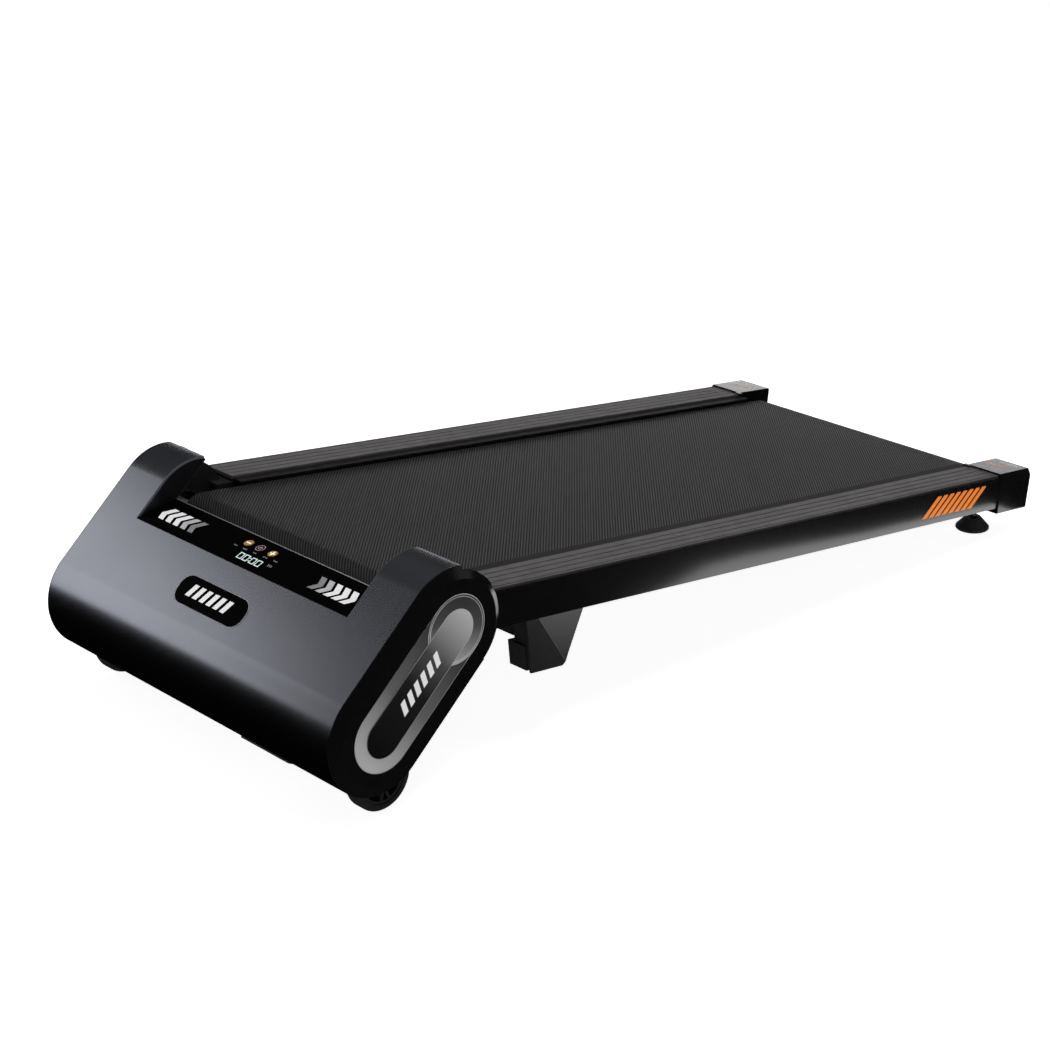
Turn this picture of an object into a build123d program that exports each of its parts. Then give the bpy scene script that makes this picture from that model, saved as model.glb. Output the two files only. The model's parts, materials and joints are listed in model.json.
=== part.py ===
from build123d import *
import os
from math import cos, degrees, radians, sin, tan

# Under-desk treadmill with a swinging motor hood, millimetres, +Z up, standing on the floor Z = 0.
# +X is the right-hand side, +Y runs to the rear. The origin is under the middle of the object.
# Deck parts are laid out in the deck frame: its origin is the hood pivot, which is also the front
# roller's axis, y runs rearwards along the belt and z stands square to it.
# Hood parts are laid out in the hood frame: x points out of the flat front face ("out") and y runs
# from the pivot down the capsule ("down").

# ---- driving dimensions ----
incline = 7.5                 # deck slope at rest, the top of its range
hood_slope = 48.6             # hood axis below the deck's forward direction, at rest
swing_travel = 50.0           # hood swing from the top of the incline to the lowest pose

hood_radius = 69.6            # outer radius of the capsule
hood_length = 138.1           # between the two centres of the capsule
hood_wall = 3.0
hood_half = 270.0             # half of the overall width, at the end caps' faces
shell_half = 261.0
notch_half = 193.5            # gap between the ears, where the belt comes through
notch_wall_out = 36.5         # rear edge of the notch's side walls
lip_angle = 143.2             # end of the shell over the ears, from the down direction
panel_front = (69.6, 54.1)    # console line, hood frame (out, down)
panel_rear = (37.4, 4.45)
panel_thick = 3.0

rail_inner = 202.0
rail_outer = 264.0
rail_bottom = -12.4
rail_deck = 29.0              # seat of the foot strip
rail_lip = 31.1
rail_wall = 2.2
rail_start = 60.0
rail_end = 1050.0
ledge_inner = 190.0
strip_inner = 208.0
strip_outer = 259.3
strip_top = 33.2
strip_end = 999.4

drum_radius = 58.0
drum_inner = 220.0
drum_outer = 254.0

belt_half = 188.0
belt_thick = 1.6
roller_radius = 24.6
roller_half = 190.0
roller_gap = 0.3              # between a roller and the running belt
roller_wall = 3.0
rear_roller_y = 1021.0
shaft_radius = 8.5

cap_inner = 206.6
cap_outer = 266.4
cap_front = 1000.0
cap_rear = 1069.0
cap_bottom = -20.0
cap_top = 35.5
cap_wall = 2.2
chamfer_in = 5.0
chamfer_down = 8.0

wheel_out = -58.5             # wheel centre, hood frame
wheel_down = 167.8
wheel_radius = 38.2
wheel_inner = 227.0
wheel_width = 20.0
axle_radius = 5.0

motor_out = 2.0
motor_down = 112.0
motor_radius = 40.0
tube_out = 38.0               # cross tube of the swing frame, hood frame
tube_down = 156.0
tube_radius = 12.0

screw_depth = 56.0            # incline lead screw under the pivot
screw_radius = 5.0
pin_radius = 5.0
pitch_slack = 0.9             # the lever slot's extra half-width, for the open pivot

foot_x = 212.0
foot_y = 1026.0
pad_height = 17.0
pad_radius = 23.0
ball_height = 11.0
ball_radius = 6.5

fit = 0.05                    # running fits, radial

# ---- frames ----
hood_pitch = hood_slope - incline
pivot_z = wheel_radius + wheel_down * sin(radians(hood_pitch)) - wheel_out * cos(radians(hood_pitch))
front_reach = hood_length * cos(radians(hood_pitch)) + hood_radius
rear_reach = cap_rear * cos(radians(incline)) + cap_top * sin(radians(incline))
pivot_y = (front_reach - rear_reach) / 2

deck = Plane(
    origin=(0, pivot_y, pivot_z),
    x_dir=(1, 0, 0),
    z_dir=(0, sin(radians(incline)), cos(radians(incline))),
)
hood_out = (0, -sin(radians(hood_pitch)), cos(radians(hood_pitch)))


def deck_side(x):
    """Plane facing +X at x: local x rearwards along the deck, local y up from it."""
    return Plane(origin=deck.from_local_coords((x, 0, 0)), x_dir=deck.y_dir, z_dir=(1, 0, 0))


def deck_section(y):
    """Plane facing forwards at y along the deck: local x right, local y up from the deck."""
    return Plane(origin=deck.from_local_coords((0, y, 0)), x_dir=(1, 0, 0), z_dir=-deck.y_dir)


def deck_level(z):
    """Plane parallel to the belt at height z above the pivot."""
    return deck.offset(z)


def hood_side(x):
    """Plane facing +X at x: local x out of the hood's flat face, local y down the capsule."""
    return Plane(origin=(x, pivot_y, pivot_z), x_dir=hood_out, z_dir=(1, 0, 0))


def capsule(radius, mode=Mode.ADD):
    """The hood's racetrack outline, drawn in a hood_side plane."""
    with Locations((0, hood_length / 2)):
        SlotCenterToCenter(hood_length, 2 * radius, rotation=90, mode=mode)


def hull_of(first, first_radius, second, second_radius):
    """Two circles and the straight tangents between them."""
    with Locations(first):
        Circle(first_radius)
    with Locations(second):
        Circle(second_radius)
    make_hull()


panel_dx = panel_rear[0] - panel_front[0]
panel_dy = panel_rear[1] - panel_front[1]
panel_length = (panel_dx**2 + panel_dy**2) ** 0.5
panel_along = (panel_dx / panel_length, panel_dy / panel_length)
panel_inward = (panel_along[1], -panel_along[0])
edge_along = 0.9              # thin rim of the shell in front of the console
edge_lean = panel_inward[0] / panel_along[0]
seat_depth = panel_thick + 0.2
seat_rise = seat_depth * edge_lean


def on_panel(along, depth):
    """Point in a hood_side plane: distance from the console's front edge, depth under its face."""
    x = panel_front[0] + along * panel_along[0] + depth * panel_inward[0]
    y = panel_front[1] + along * panel_along[1] + depth * panel_inward[1]
    return (x, y)


probe = hood_side(0)
panel_origin = probe.from_local_coords((panel_front[0], panel_front[1], 0))
panel_back = probe.from_local_coords((panel_rear[0], panel_rear[1], 0))
console = Plane(origin=panel_origin, x_dir=(1, 0, 0), z_dir=Vector(1, 0, 0).cross(panel_back - panel_origin))

pivot = (0, 0)
lower = (0, hood_length)
wheel_at = (wheel_out, wheel_down)
motor_at = (motor_out, motor_down)
tube_at = (tube_out, tube_down)

# ---- motor hood: shells and trim ----
well_radius = wheel_radius + 4
well_inner = 219.5
well_outer = 255.0
lip_reach = 120.0
lip_x = lip_reach * sin(radians(lip_angle))
lip_y = lip_reach * cos(radians(lip_angle))

with BuildPart() as hood_shell:
    with BuildSketch(hood_side(-shell_half)):
        capsule(hood_radius)
        capsule(hood_radius - hood_wall, Mode.SUBTRACT)
        with BuildLine():
            Polyline(
                (0, 0), (lip_x, lip_y), (-lip_reach, lip_y),
                (-lip_reach, hood_length), (0, hood_length),
                close=True,
            )
        make_face(mode=Mode.SUBTRACT)
    extrude(amount=2 * shell_half)
    with BuildSketch(hood_side(-notch_half)):
        with BuildLine():
            Polyline(
                on_panel(-20, 0), on_panel(edge_along, 0), on_panel(edge_along - seat_rise, seat_depth),
                on_panel(140, seat_depth), (-6, -lip_reach), (lip_reach, -lip_reach), (lip_reach, 71),
                close=True,
            )
        make_face()
    extrude(amount=2 * notch_half, mode=Mode.SUBTRACT)
    wall_width = hood_radius - notch_wall_out
    for wall_x in (-notch_half - hood_wall, notch_half):
        with BuildSketch(hood_side(wall_x)):
            capsule(hood_radius - 0.5)
            with Locations((notch_wall_out + wall_width / 2, 0)):
                Rectangle(wall_width, 2 * panel_front[1], mode=Mode.INTERSECT)
        extrude(amount=hood_wall)
    for well_x in (-well_outer, well_inner):
        with BuildSketch(hood_side(well_x)):
            with Locations(wheel_at):
                Circle(well_radius)
        extrude(amount=well_outer - well_inner, mode=Mode.SUBTRACT)

inlet_tilt = -21.0            # the inlet plate's normal, from the down direction towards the front
inlet_x = 120.0
inlet_width = 84.0
inlet_height = 30.0
inlet_face = hood_radius + 0.2
inlet_thick = 4.0
inlet_normal_x = sin(radians(inlet_tilt))
inlet_normal_y = cos(radians(inlet_tilt))


def inlet_plane(distance):
    """Plane facing out of the inlet plate, at a distance from the capsule's lower centre."""
    side = hood_side(inlet_x)
    point = (inlet_normal_x * distance, hood_length + inlet_normal_y * distance, 0)
    ahead = (inlet_normal_x * (distance + 1), hood_length + inlet_normal_y * (distance + 1), 0)
    origin = side.from_local_coords(point)
    return Plane(origin=origin, x_dir=(1, 0, 0), z_dir=side.from_local_coords(ahead) - origin)


with hood_shell:
    with BuildSketch(inlet_plane(inlet_face + 1)):
        Rectangle(inlet_width + 0.4, inlet_height + 0.4)
    extrude(amount=-12, mode=Mode.SUBTRACT)

cover_top = 14.0
slot_half = 36.0              # cut-out over the incline drive
slot_bottom = 88.0
vent_pitch = 11.0
vent_x = 112.0
vent_count = 9

with BuildPart() as hood_rear_cover:
    with BuildSketch(hood_side(-shell_half)):
        with Locations((-hood_radius + hood_wall / 2, (cover_top + hood_length) / 2)):
            Rectangle(hood_wall, hood_length - cover_top - 0.2)
    extrude(amount=2 * shell_half)
    with BuildSketch(hood_side(-slot_half)):
        with Locations((-hood_radius, (cover_top + slot_bottom) / 2 - 2)):
            Rectangle(20, slot_bottom - cover_top + 4)
    extrude(amount=2 * slot_half, mode=Mode.SUBTRACT)
    for well_x in (-well_outer, well_inner):
        with BuildSketch(hood_side(well_x)):
            with Locations(wheel_at):
                Circle(well_radius)
        extrude(amount=well_outer - well_inner, mode=Mode.SUBTRACT)
    for bank_x in (-vent_x, vent_x):
        for index in range(vent_count):
            with BuildSketch(hood_side(bank_x + (index - (vent_count - 1) / 2) * vent_pitch)):
                with Locations((-hood_radius, 100)):
                    Rectangle(20, 34)
            extrude(amount=4.5, mode=Mode.SUBTRACT)

cap_thick = hood_half - shell_half
trim_radius = 40.65
trim_depth = 1.6

rim_inset = 12.6              # the cap's sloping rim, across its face
rim_start = 262.0
cap_clear = 264.6             # behind this plane the cap is open round the rail's end

with BuildPart() as hood_end_cap_right:
    with BuildSketch(hood_side(rim_start)):
        capsule(hood_radius)
    with BuildSketch(hood_side(hood_half)):
        capsule(hood_radius - rim_inset)
    loft()
    with BuildSketch(hood_side(shell_half)):
        capsule(hood_radius)
    extrude(amount=rim_start - shell_half)
    with BuildSketch(hood_side(hood_half)):
        capsule(trim_radius)
    extrude(amount=-trim_depth, mode=Mode.SUBTRACT)
    with BuildSketch(hood_side(shell_half - 5)):
        capsule(hood_radius - hood_wall - 0.3)
        capsule(hood_radius - 2 * hood_wall, Mode.SUBTRACT)
        with Locations((-50, 60)):
            Rectangle(100, 380, mode=Mode.SUBTRACT)
        with Locations((35, -60)):
            Rectangle(100, 120, mode=Mode.SUBTRACT)
    extrude(amount=5)
    with BuildSketch(hood_side(shell_half - 1)):
        with BuildLine():
            Polyline((0, 0), (lip_x, lip_y), (-lip_reach, lip_y), (-lip_reach, 0), close=True)
        make_face()
    extrude(amount=cap_clear - shell_half + 1, mode=Mode.SUBTRACT)

with BuildPart() as hood_end_cap_left:
    mirror(hood_end_cap_right.part, about=Plane.YZ)

insert_radius = 24.0
with BuildPart() as end_trims:
    with BuildSketch(hood_side(hood_half - trim_depth)):
        capsule(trim_radius - 0.2)
    extrude(amount=0.9)
    mirror(about=Plane.YZ)

with BuildPart() as end_inserts:
    with BuildSketch(hood_side(hood_half - trim_depth + 0.9)):
        capsule(insert_radius)
        Circle(trim_radius - 1.2)
    extrude(amount=0.6)
    mirror(about=Plane.YZ)

badge_down = 102.6
badge_width = 120.0
badge_height = 35.6
with BuildPart() as hood_badge:
    badge_origin = hood_side(0).from_local_coords((hood_radius, badge_down, 0))
    with BuildSketch(Plane(origin=badge_origin, x_dir=(1, 0, 0), z_dir=hood_out)):
        RectangleRounded(badge_width, badge_height, 15.5)
    extrude(amount=1.2)
    fillet(hood_badge.faces().sort_by(Axis(badge_origin, hood_out))[-1].edges(), radius=0.6)

# ---- console ----
key_radius = 6.3
key_xs = {"key_minus": -30.5, "key_mode": -9.2, "key_plus": 13.0}
key_along = 41.5
key_thick = 2.4
key_proud = 0.2
panel_half = notch_half - 0.2
board_x = -6.0
board_size = (84.0, 44.0)
board_along = 31.0

with BuildPart() as console_panel:
    with BuildSketch(hood_side(-panel_half)):
        with BuildLine():
            Polyline(
                on_panel(edge_along + 0.4, 0), on_panel(panel_length, 0), on_panel(panel_length, panel_thick),
                on_panel(edge_along + 0.4 - panel_thick * edge_lean, panel_thick),
                close=True,
            )
        make_face()
    extrude(amount=2 * panel_half)
    with BuildSketch(console):
        with Locations(*[(key_x, key_along) for key_x in key_xs.values()]):
            Circle(key_radius + 0.2)
    extrude(amount=-2 * panel_thick, mode=Mode.SUBTRACT)

keys = {}
for key_name, key_x in key_xs.items():
    with BuildPart() as key:
        with BuildSketch(console.offset(key_proud)):
            with Locations((key_x, key_along)):
                Circle(key_radius)
        extrude(amount=-key_thick)
    keys[key_name] = key

cowl_radius = 33.0
cowl_thick = 2.5
cowl_start = 76.0
cowl_end = -62.0
tray_top = panel_thick + 0.2
with BuildPart() as console_tray:
    with BuildSketch(hood_side(-panel_half)):
        with BuildLine():
            Polyline(
                on_panel(7, tray_top), on_panel(panel_length - 2, tray_top),
                on_panel(panel_length - 2, tray_top + cowl_thick), on_panel(8, tray_top + cowl_thick),
                close=True,
            )
        make_face()
        with BuildLine():
            cowl_in = CenterArc((0, 0), cowl_radius, 90 - cowl_start, cowl_start - cowl_end)
            cowl_out = CenterArc((0, 0), cowl_radius + cowl_thick, 90 - cowl_start, cowl_start - cowl_end)
            Line(cowl_in @ 0, cowl_out @ 0)
            Line(cowl_in @ 1, cowl_out @ 1)
        make_face()
    extrude(amount=2 * panel_half)
    with BuildSketch(console.offset(-tray_top)):
        with Locations((board_x, board_along)):
            Rectangle(board_size[0] + 1, board_size[1] + 1)
    extrude(amount=-2.0, mode=Mode.SUBTRACT)
    with BuildSketch(console.offset(-tray_top)):
        with Locations((board_x, board_along)):
            Rectangle(board_size[0] - 8, board_size[1] - 8)
    extrude(amount=-4.0, mode=Mode.SUBTRACT)

with BuildPart() as display_board:
    with BuildSketch(console.offset(-tray_top - 0.4)):
        with Locations((board_x, board_along)):
            Rectangle(*board_size)
    extrude(amount=-1.6)

# ---- swing frame, pins and drive, inside the hood ----
arm_inner = 255.0
arm_thick = 3.0
lever_inner = 28.0
lever_thick = 4.0
slot_angle = 25.0             # the lever slots lean this much rearwards of straight down at rest
slot_phi = hood_slope + 180 - (270 + slot_angle)
slot_near = screw_depth - 1.5
slot_far = screw_depth / cos(radians(slot_angle)) + 1.5
slot_dir = (sin(radians(slot_phi)), cos(radians(slot_phi)))
slot_centre = (slot_near + slot_far) / 2
slot_mid = (slot_centre * slot_dir[0], slot_centre * slot_dir[1])
slot_width = 2 * (pin_radius + pitch_slack)
fork_inner = 221.0
fork_thick = 3.0
fork_xs = (fork_inner, wheel_inner + wheel_width + 2.5)
saddle_xs = (62.0, 150.0)

with BuildPart() as swing_frame:
    with BuildSketch(hood_side(-arm_inner - arm_thick)):
        with Locations(tube_at):
            Circle(tube_radius)
            Circle(tube_radius - 2, mode=Mode.SUBTRACT)
    extrude(amount=2 * (arm_inner + arm_thick))
    for arm_x in (-arm_inner - arm_thick, arm_inner):
        with BuildSketch(hood_side(arm_x)):
            hull_of(pivot, 26, tube_at, 16)
        extrude(amount=arm_thick)
    for fork_x in (-fork_xs[0] - fork_thick, -fork_xs[1] - fork_thick, *fork_xs):
        with BuildSketch(hood_side(fork_x)):
            hull_of(wheel_at, 9.5, tube_at, 15)
        extrude(amount=fork_thick)
    for lever_x in (-lever_inner - lever_thick, lever_inner):
        with BuildSketch(hood_side(lever_x)):
            hull_of(slot_mid, 14, tube_at, 15)
        extrude(amount=lever_thick)
    for saddle_x in saddle_xs:
        with BuildSketch(hood_side(saddle_x)):
            hull_of(motor_at, motor_radius + 5, tube_at, 15)
        extrude(amount=4)
    with BuildSketch(hood_side(-shell_half)):
        with Locations(tube_at):
            Circle(tube_radius - 2)
    extrude(amount=2 * shell_half, mode=Mode.SUBTRACT)
    for lever_x in (-lever_inner - lever_thick, lever_inner):
        with BuildSketch(hood_side(lever_x)):
            with Locations(slot_mid):
                SlotCenterToCenter(slot_far - slot_near, slot_width, rotation=90 - slot_phi)
        extrude(amount=lever_thick, mode=Mode.SUBTRACT)
    for hole_x, hole_width in ((-shell_half, 50), (shell_half - 50, 50)):
        with BuildSketch(hood_side(hole_x)):
            with Locations(wheel_at):
                Circle(axle_radius)
            Circle(10)
        extrude(amount=hole_width, mode=Mode.SUBTRACT)
    with BuildSketch(hood_side(saddle_xs[0])):
        with Locations(motor_at):
            Circle(motor_radius)
    extrude(amount=saddle_xs[1] + 4 - saddle_xs[0], mode=Mode.SUBTRACT)

with BuildPart() as pivot_pins:
    with BuildSketch(hood_side(241)):
        Circle(10)
    extrude(amount=arm_inner + arm_thick - 241)
    with BuildSketch(hood_side(arm_inner + arm_thick)):
        Circle(14)
    extrude(amount=2.5)
    mirror(about=Plane.YZ)

with BuildPart() as wheel_axles:
    with BuildSketch(hood_side(fork_inner - 1)):
        with Locations(wheel_at):
            Circle(axle_radius)
    extrude(amount=fork_xs[1] + fork_thick - fork_inner + 1)
    with BuildSketch(hood_side(fork_xs[1] + fork_thick)):
        with Locations(wheel_at):
            Circle(axle_radius + 3)
    extrude(amount=2)
    mirror(about=Plane.YZ)

motor_start = 42.0
motor_end = 178.0
with BuildPart() as drive_motor:
    with BuildSketch(hood_side(motor_start)):
        with Locations(motor_at):
            Circle(motor_radius)
    extrude(amount=motor_end - motor_start)
    fillet(drive_motor.edges().filter_by(GeomType.CIRCLE), radius=3)
    with BuildSketch(hood_side(motor_end)):
        with Locations(motor_at):
            Circle(16)
    extrude(amount=5)
    with BuildSketch(hood_side(motor_start)):
        with Locations(motor_at):
            Circle(axle_radius + fit)
    extrude(amount=motor_end - motor_start + 5, mode=Mode.SUBTRACT)

pulley_start = 203.0
pulley_width = 12.0
motor_pulley_radius = 13.0
roller_pulley_radius = 27.0
with BuildPart() as motor_shaft:
    with BuildSketch(hood_side(motor_start + 4)):
        with Locations(motor_at):
            Circle(axle_radius)
    extrude(amount=pulley_start + pulley_width + 2 - motor_start - 4)

with BuildPart() as motor_pulley:
    with BuildSketch(hood_side(pulley_start)):
        with Locations(motor_at):
            Circle(motor_pulley_radius)
            Circle(axle_radius, mode=Mode.SUBTRACT)
    extrude(amount=pulley_width)

with BuildPart() as drive_belt:
    with BuildSketch(hood_side(pulley_start + 1)):
        hull_of(pivot, roller_pulley_radius + 2.5, motor_at, motor_pulley_radius + 2.5)
    extrude(amount=pulley_width - 2)
    with BuildSketch(hood_side(pulley_start + 1)):
        hull_of(pivot, roller_pulley_radius + roller_gap, motor_at, motor_pulley_radius + roller_gap)
    extrude(amount=pulley_width - 2, mode=Mode.SUBTRACT)

with BuildPart() as belt_guard:
    with BuildSketch(hood_side(198)):
        hull_of(pivot, 34, motor_at, 22)
    extrude(amount=2)
    with BuildSketch(hood_side(198)):
        Circle(14)
        with Locations(motor_at):
            Circle(9)
    extrude(amount=2, mode=Mode.SUBTRACT)

controller_x = -112.0
with BuildPart() as motor_controller:
    with BuildSketch(hood_side(controller_x - 70)):
        with Locations((-6, 118)):
            Rectangle(44, 66)
    extrude(amount=140)
    for fin_y in range(-28, 29, 8):
        with BuildSketch(hood_side(controller_x - 66)):
            with Locations((11, 118 + fin_y)):
                Rectangle(12, 3.5)
        extrude(amount=132, mode=Mode.SUBTRACT)

socket_x = 22.0
switch_x = -6.0
breaker_x = -30.0
with BuildPart() as power_inlet:
    with BuildSketch(inlet_plane(inlet_face)):
        Rectangle(inlet_width, inlet_height)
    extrude(amount=-inlet_thick)
    with BuildSketch(inlet_plane(inlet_face - inlet_thick)):
        with Locations((socket_x, 0)):
            Rectangle(30, 23)
        with Locations((switch_x, 0)):
            Rectangle(17, 23)
        with Locations((breaker_x, 0)):
            Circle(8)
    extrude(amount=-16)
    with BuildSketch(inlet_plane(inlet_face)):
        with Locations((socket_x, 0)):
            Rectangle(25, 18)
        with Locations((switch_x, 0)):
            Rectangle(12, 18)
    extrude(amount=-16, mode=Mode.SUBTRACT)
    with BuildSketch(inlet_plane(inlet_face)):
        with Locations((breaker_x, 0)):
            Circle(4.3)
    extrude(amount=-14, mode=Mode.SUBTRACT)
    with BuildSketch(inlet_plane(inlet_face - 16)):
        with Locations((socket_x - 7, 2.5), (socket_x + 7, 2.5), (socket_x, -2.5)):
            Rectangle(2, 4)
    extrude(amount=12)

rocker_depth = 5.0            # the rocker's pivot under the plate's face
rocker_tilt = 8.0
rocker_width = 11.4
with BuildPart() as power_rocker:
    rocker_side = inlet_plane(inlet_face - rocker_depth)
    rocker_origin = rocker_side.from_local_coords((switch_x - rocker_width / 2, 0, 0))
    along_plate = rocker_side.y_dir * cos(radians(rocker_tilt))
    off_plate = rocker_side.z_dir * sin(radians(rocker_tilt))
    with BuildSketch(Plane(origin=rocker_origin, x_dir=along_plate + off_plate, z_dir=(1, 0, 0))):
        with BuildLine():
            Polyline((-7.6, 5.4), (0, 3), (7.6, 5.4), (6.5, -0.5), (0, -4), (-6.5, -0.5), close=True)
        make_face()
    extrude(amount=rocker_width)

with BuildPart() as breaker_button:
    with BuildSketch(inlet_plane(inlet_face + 1.6)):
        with Locations((breaker_x, 0)):
            Circle(4)
    extrude(amount=-10)

upper_screws = [(screw_x, 28) for screw_x in (-250, -150, -60, 60, 150, 250)]
lower_screws = [(screw_x, 132) for screw_x in (-180, 0, 180)]
with BuildPart() as hood_screws:
    rear_origin = hood_side(0).from_local_coords((-hood_radius, 0, 0))
    rear_face = Plane(origin=rear_origin, x_dir=(1, 0, 0), z_dir=-Vector(*hood_out))
    with BuildSketch(rear_face):
        with Locations(*upper_screws, *lower_screws):
            Circle(3.5)
            RegularPolygon(1.5, 6, mode=Mode.SUBTRACT)
    extrude(amount=1.4)

# ---- wheels ----
hub_radius = 30.0
rim_radius = 26.5
spoke_count = 5
spoke_lean = 16.0             # each pair of spokes makes a V
spoke_centre = 17.0
spoke_spread = 9.0
wheels = {}
for side_name, side_x in (("left", -wheel_inner - wheel_width), ("right", wheel_inner)):
    with BuildPart() as tyre:
        with BuildSketch(hood_side(side_x)):
            with Locations(wheel_at):
                Circle(wheel_radius)
                Circle(hub_radius, mode=Mode.SUBTRACT)
        extrude(amount=wheel_width)
        rims = tyre.edges().filter_by(GeomType.CIRCLE)
        fillet(rims.sort_by(SortBy.RADIUS)[-2:], radius=3.5)
    wheels["tyre_" + side_name] = tyre
    with BuildPart() as hub:
        with BuildSketch(hood_side(side_x + 1)):
            with Locations(wheel_at):
                Circle(hub_radius)
                Circle(rim_radius, mode=Mode.SUBTRACT)
                Circle(10)
                with PolarLocations(0, spoke_count):
                    for hand in (-1, 1):
                        spoke_x = spoke_centre * cos(radians(spoke_spread))
                        spoke_y = hand * spoke_centre * sin(radians(spoke_spread))
                        with Locations(Location((spoke_x, spoke_y, 0), hand * spoke_lean)):
                            Rectangle(21, 3)
        extrude(amount=wheel_width - 2)
        with BuildSketch(hood_side(side_x + wheel_width / 2 - 1)):
            with Locations(wheel_at):
                Circle(rim_radius + 1)
        extrude(amount=2)
        with BuildSketch(hood_side(side_x)):
            with Locations(wheel_at):
                Circle(axle_radius + fit)
        extrude(amount=wheel_width, mode=Mode.SUBTRACT)
    wheels["hub_" + side_name] = hub

# ---- deck: rails, strips, knuckles, caps ----
ledge_top = 31.0
ledge_bottom = 27.4
shelf_bottom = 4.5
shelf_top = 7.0
rail_width = rail_outer - rail_inner
rail_height = rail_deck - rail_bottom
rail_middle = (rail_inner + rail_outer) / 2
rail_centre = (rail_bottom + rail_deck) / 2
end_block_start = 1003.0
end_block_end = 1040.0

with BuildPart() as side_rail_right:
    with BuildSketch(deck_section(rail_start)):
        with Locations((rail_middle, rail_centre)):
            Rectangle(rail_width, rail_height)
            Rectangle(rail_width - 2 * rail_wall, rail_height - 2 * rail_wall, mode=Mode.SUBTRACT)
        with Locations(((ledge_inner + strip_inner - 1.5) / 2, (ledge_bottom + ledge_top) / 2)):
            Rectangle(strip_inner - 1.5 - ledge_inner, ledge_top - ledge_bottom)
        with Locations(((ledge_inner + rail_inner + 1) / 2, (shelf_bottom + shelf_top) / 2)):
            Rectangle(rail_inner + 1 - ledge_inner, shelf_top - shelf_bottom)
        with Locations((rail_outer - rail_wall / 2, (rail_deck + rail_lip) / 2 - 0.5)):
            Rectangle(rail_wall, rail_lip - rail_deck + 1)
    extrude(amount=rail_start - rail_end)
    with BuildSketch(deck_section(strip_end)):
        with Locations(((ledge_inner + strip_inner) / 2 - 2, 0)):
            Rectangle(strip_inner + 6 - ledge_inner, 100)
        with Locations((rail_outer, rail_lip)):
            Rectangle(18, 7)
    extrude(amount=strip_end - rail_end - 1, mode=Mode.SUBTRACT)
    with BuildSketch(deck_section(end_block_start)):
        with Locations(((strip_inner + 1 + rail_outer - 1) / 2, (rail_bottom + rail_deck) / 2)):
            Rectangle(rail_outer - strip_inner - 2, rail_deck - rail_bottom - 1)
    extrude(amount=end_block_start - end_block_end)
    with BuildSketch(deck_section(rail_end)):
        with Locations(((strip_inner + 1 + rail_outer) / 2, (rail_bottom + rail_deck) / 2)):
            Rectangle(rail_outer - strip_inner - 1, rail_deck - rail_bottom - 4)
    extrude(amount=-3)
    with BuildSketch(deck_side(strip_inner)):
        with Locations((rear_roller_y, 0)):
            SlotCenterToCenter(14, 2 * 8.1)
    extrude(amount=34, mode=Mode.SUBTRACT)
    with BuildSketch(deck_section(end_block_start - 10)):
        with Locations((232, 0)):
            Circle(4.2)
    extrude(amount=-80, mode=Mode.SUBTRACT)
    with BuildSketch(deck_level(rail_bottom)):
        with Locations((foot_x + 1, foot_y)):
            Circle(11)
    extrude(amount=-12)
    with BuildSketch(deck_level(rail_bottom + 4)):
        with Locations((foot_x, foot_y)):
            Circle(4 + fit)
    extrude(amount=-20, mode=Mode.SUBTRACT)

with BuildPart() as side_rail_left:
    mirror(side_rail_right.part, about=Plane.YZ)

groove_xs = (219.6, 231.4, 243.2, 255.4)
with BuildPart() as foot_strips:
    with BuildSketch(deck_section(rail_start)):
        with Locations(((strip_inner + strip_outer) / 2, (rail_deck + strip_top) / 2)):
            Rectangle(strip_outer - strip_inner, strip_top - rail_deck)
        with Locations(*[(groove_x, strip_top) for groove_x in groove_xs]):
            Rectangle(1.6, 2.4, mode=Mode.SUBTRACT)
    extrude(amount=rail_start - strip_end)
    mirror(about=Plane.YZ)

spigot_start = 36.0
spigot_end = 150.0
with BuildPart() as pivot_knuckles:
    with BuildSketch(deck_side(drum_inner)):
        Circle(drum_radius)
    extrude(amount=drum_outer - drum_inner)
    with BuildSketch(deck_side(drum_inner + 5)):
        Circle(drum_radius - 4)
        Circle(27, mode=Mode.SUBTRACT)
    extrude(amount=drum_outer - drum_inner, mode=Mode.SUBTRACT)
    with BuildSketch(deck_section(spigot_start)):
        with Locations((rail_middle, rail_centre)):
            Rectangle(rail_width - 2 * rail_wall - 2, rail_height - 2 * rail_wall - 1)
            Rectangle(rail_width - 2 * rail_wall - 10, rail_height - 2 * rail_wall - 9, mode=Mode.SUBTRACT)
    extrude(amount=spigot_start - spigot_end)
    with BuildSketch(deck_side(drum_inner - 1)):
        Circle(20)
    extrude(amount=15, mode=Mode.SUBTRACT)
    with BuildSketch(deck_side(drum_inner)):
        Circle(13)
    extrude(amount=drum_outer - drum_inner, mode=Mode.SUBTRACT)
    mirror(about=Plane.YZ)

with BuildPart() as pivot_bushes:
    with BuildSketch(deck_side(240.5)):
        Circle(13)
        Circle(10 + fit, mode=Mode.SUBTRACT)
    extrude(amount=drum_outer - 240.5)
    mirror(about=Plane.YZ)

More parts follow.
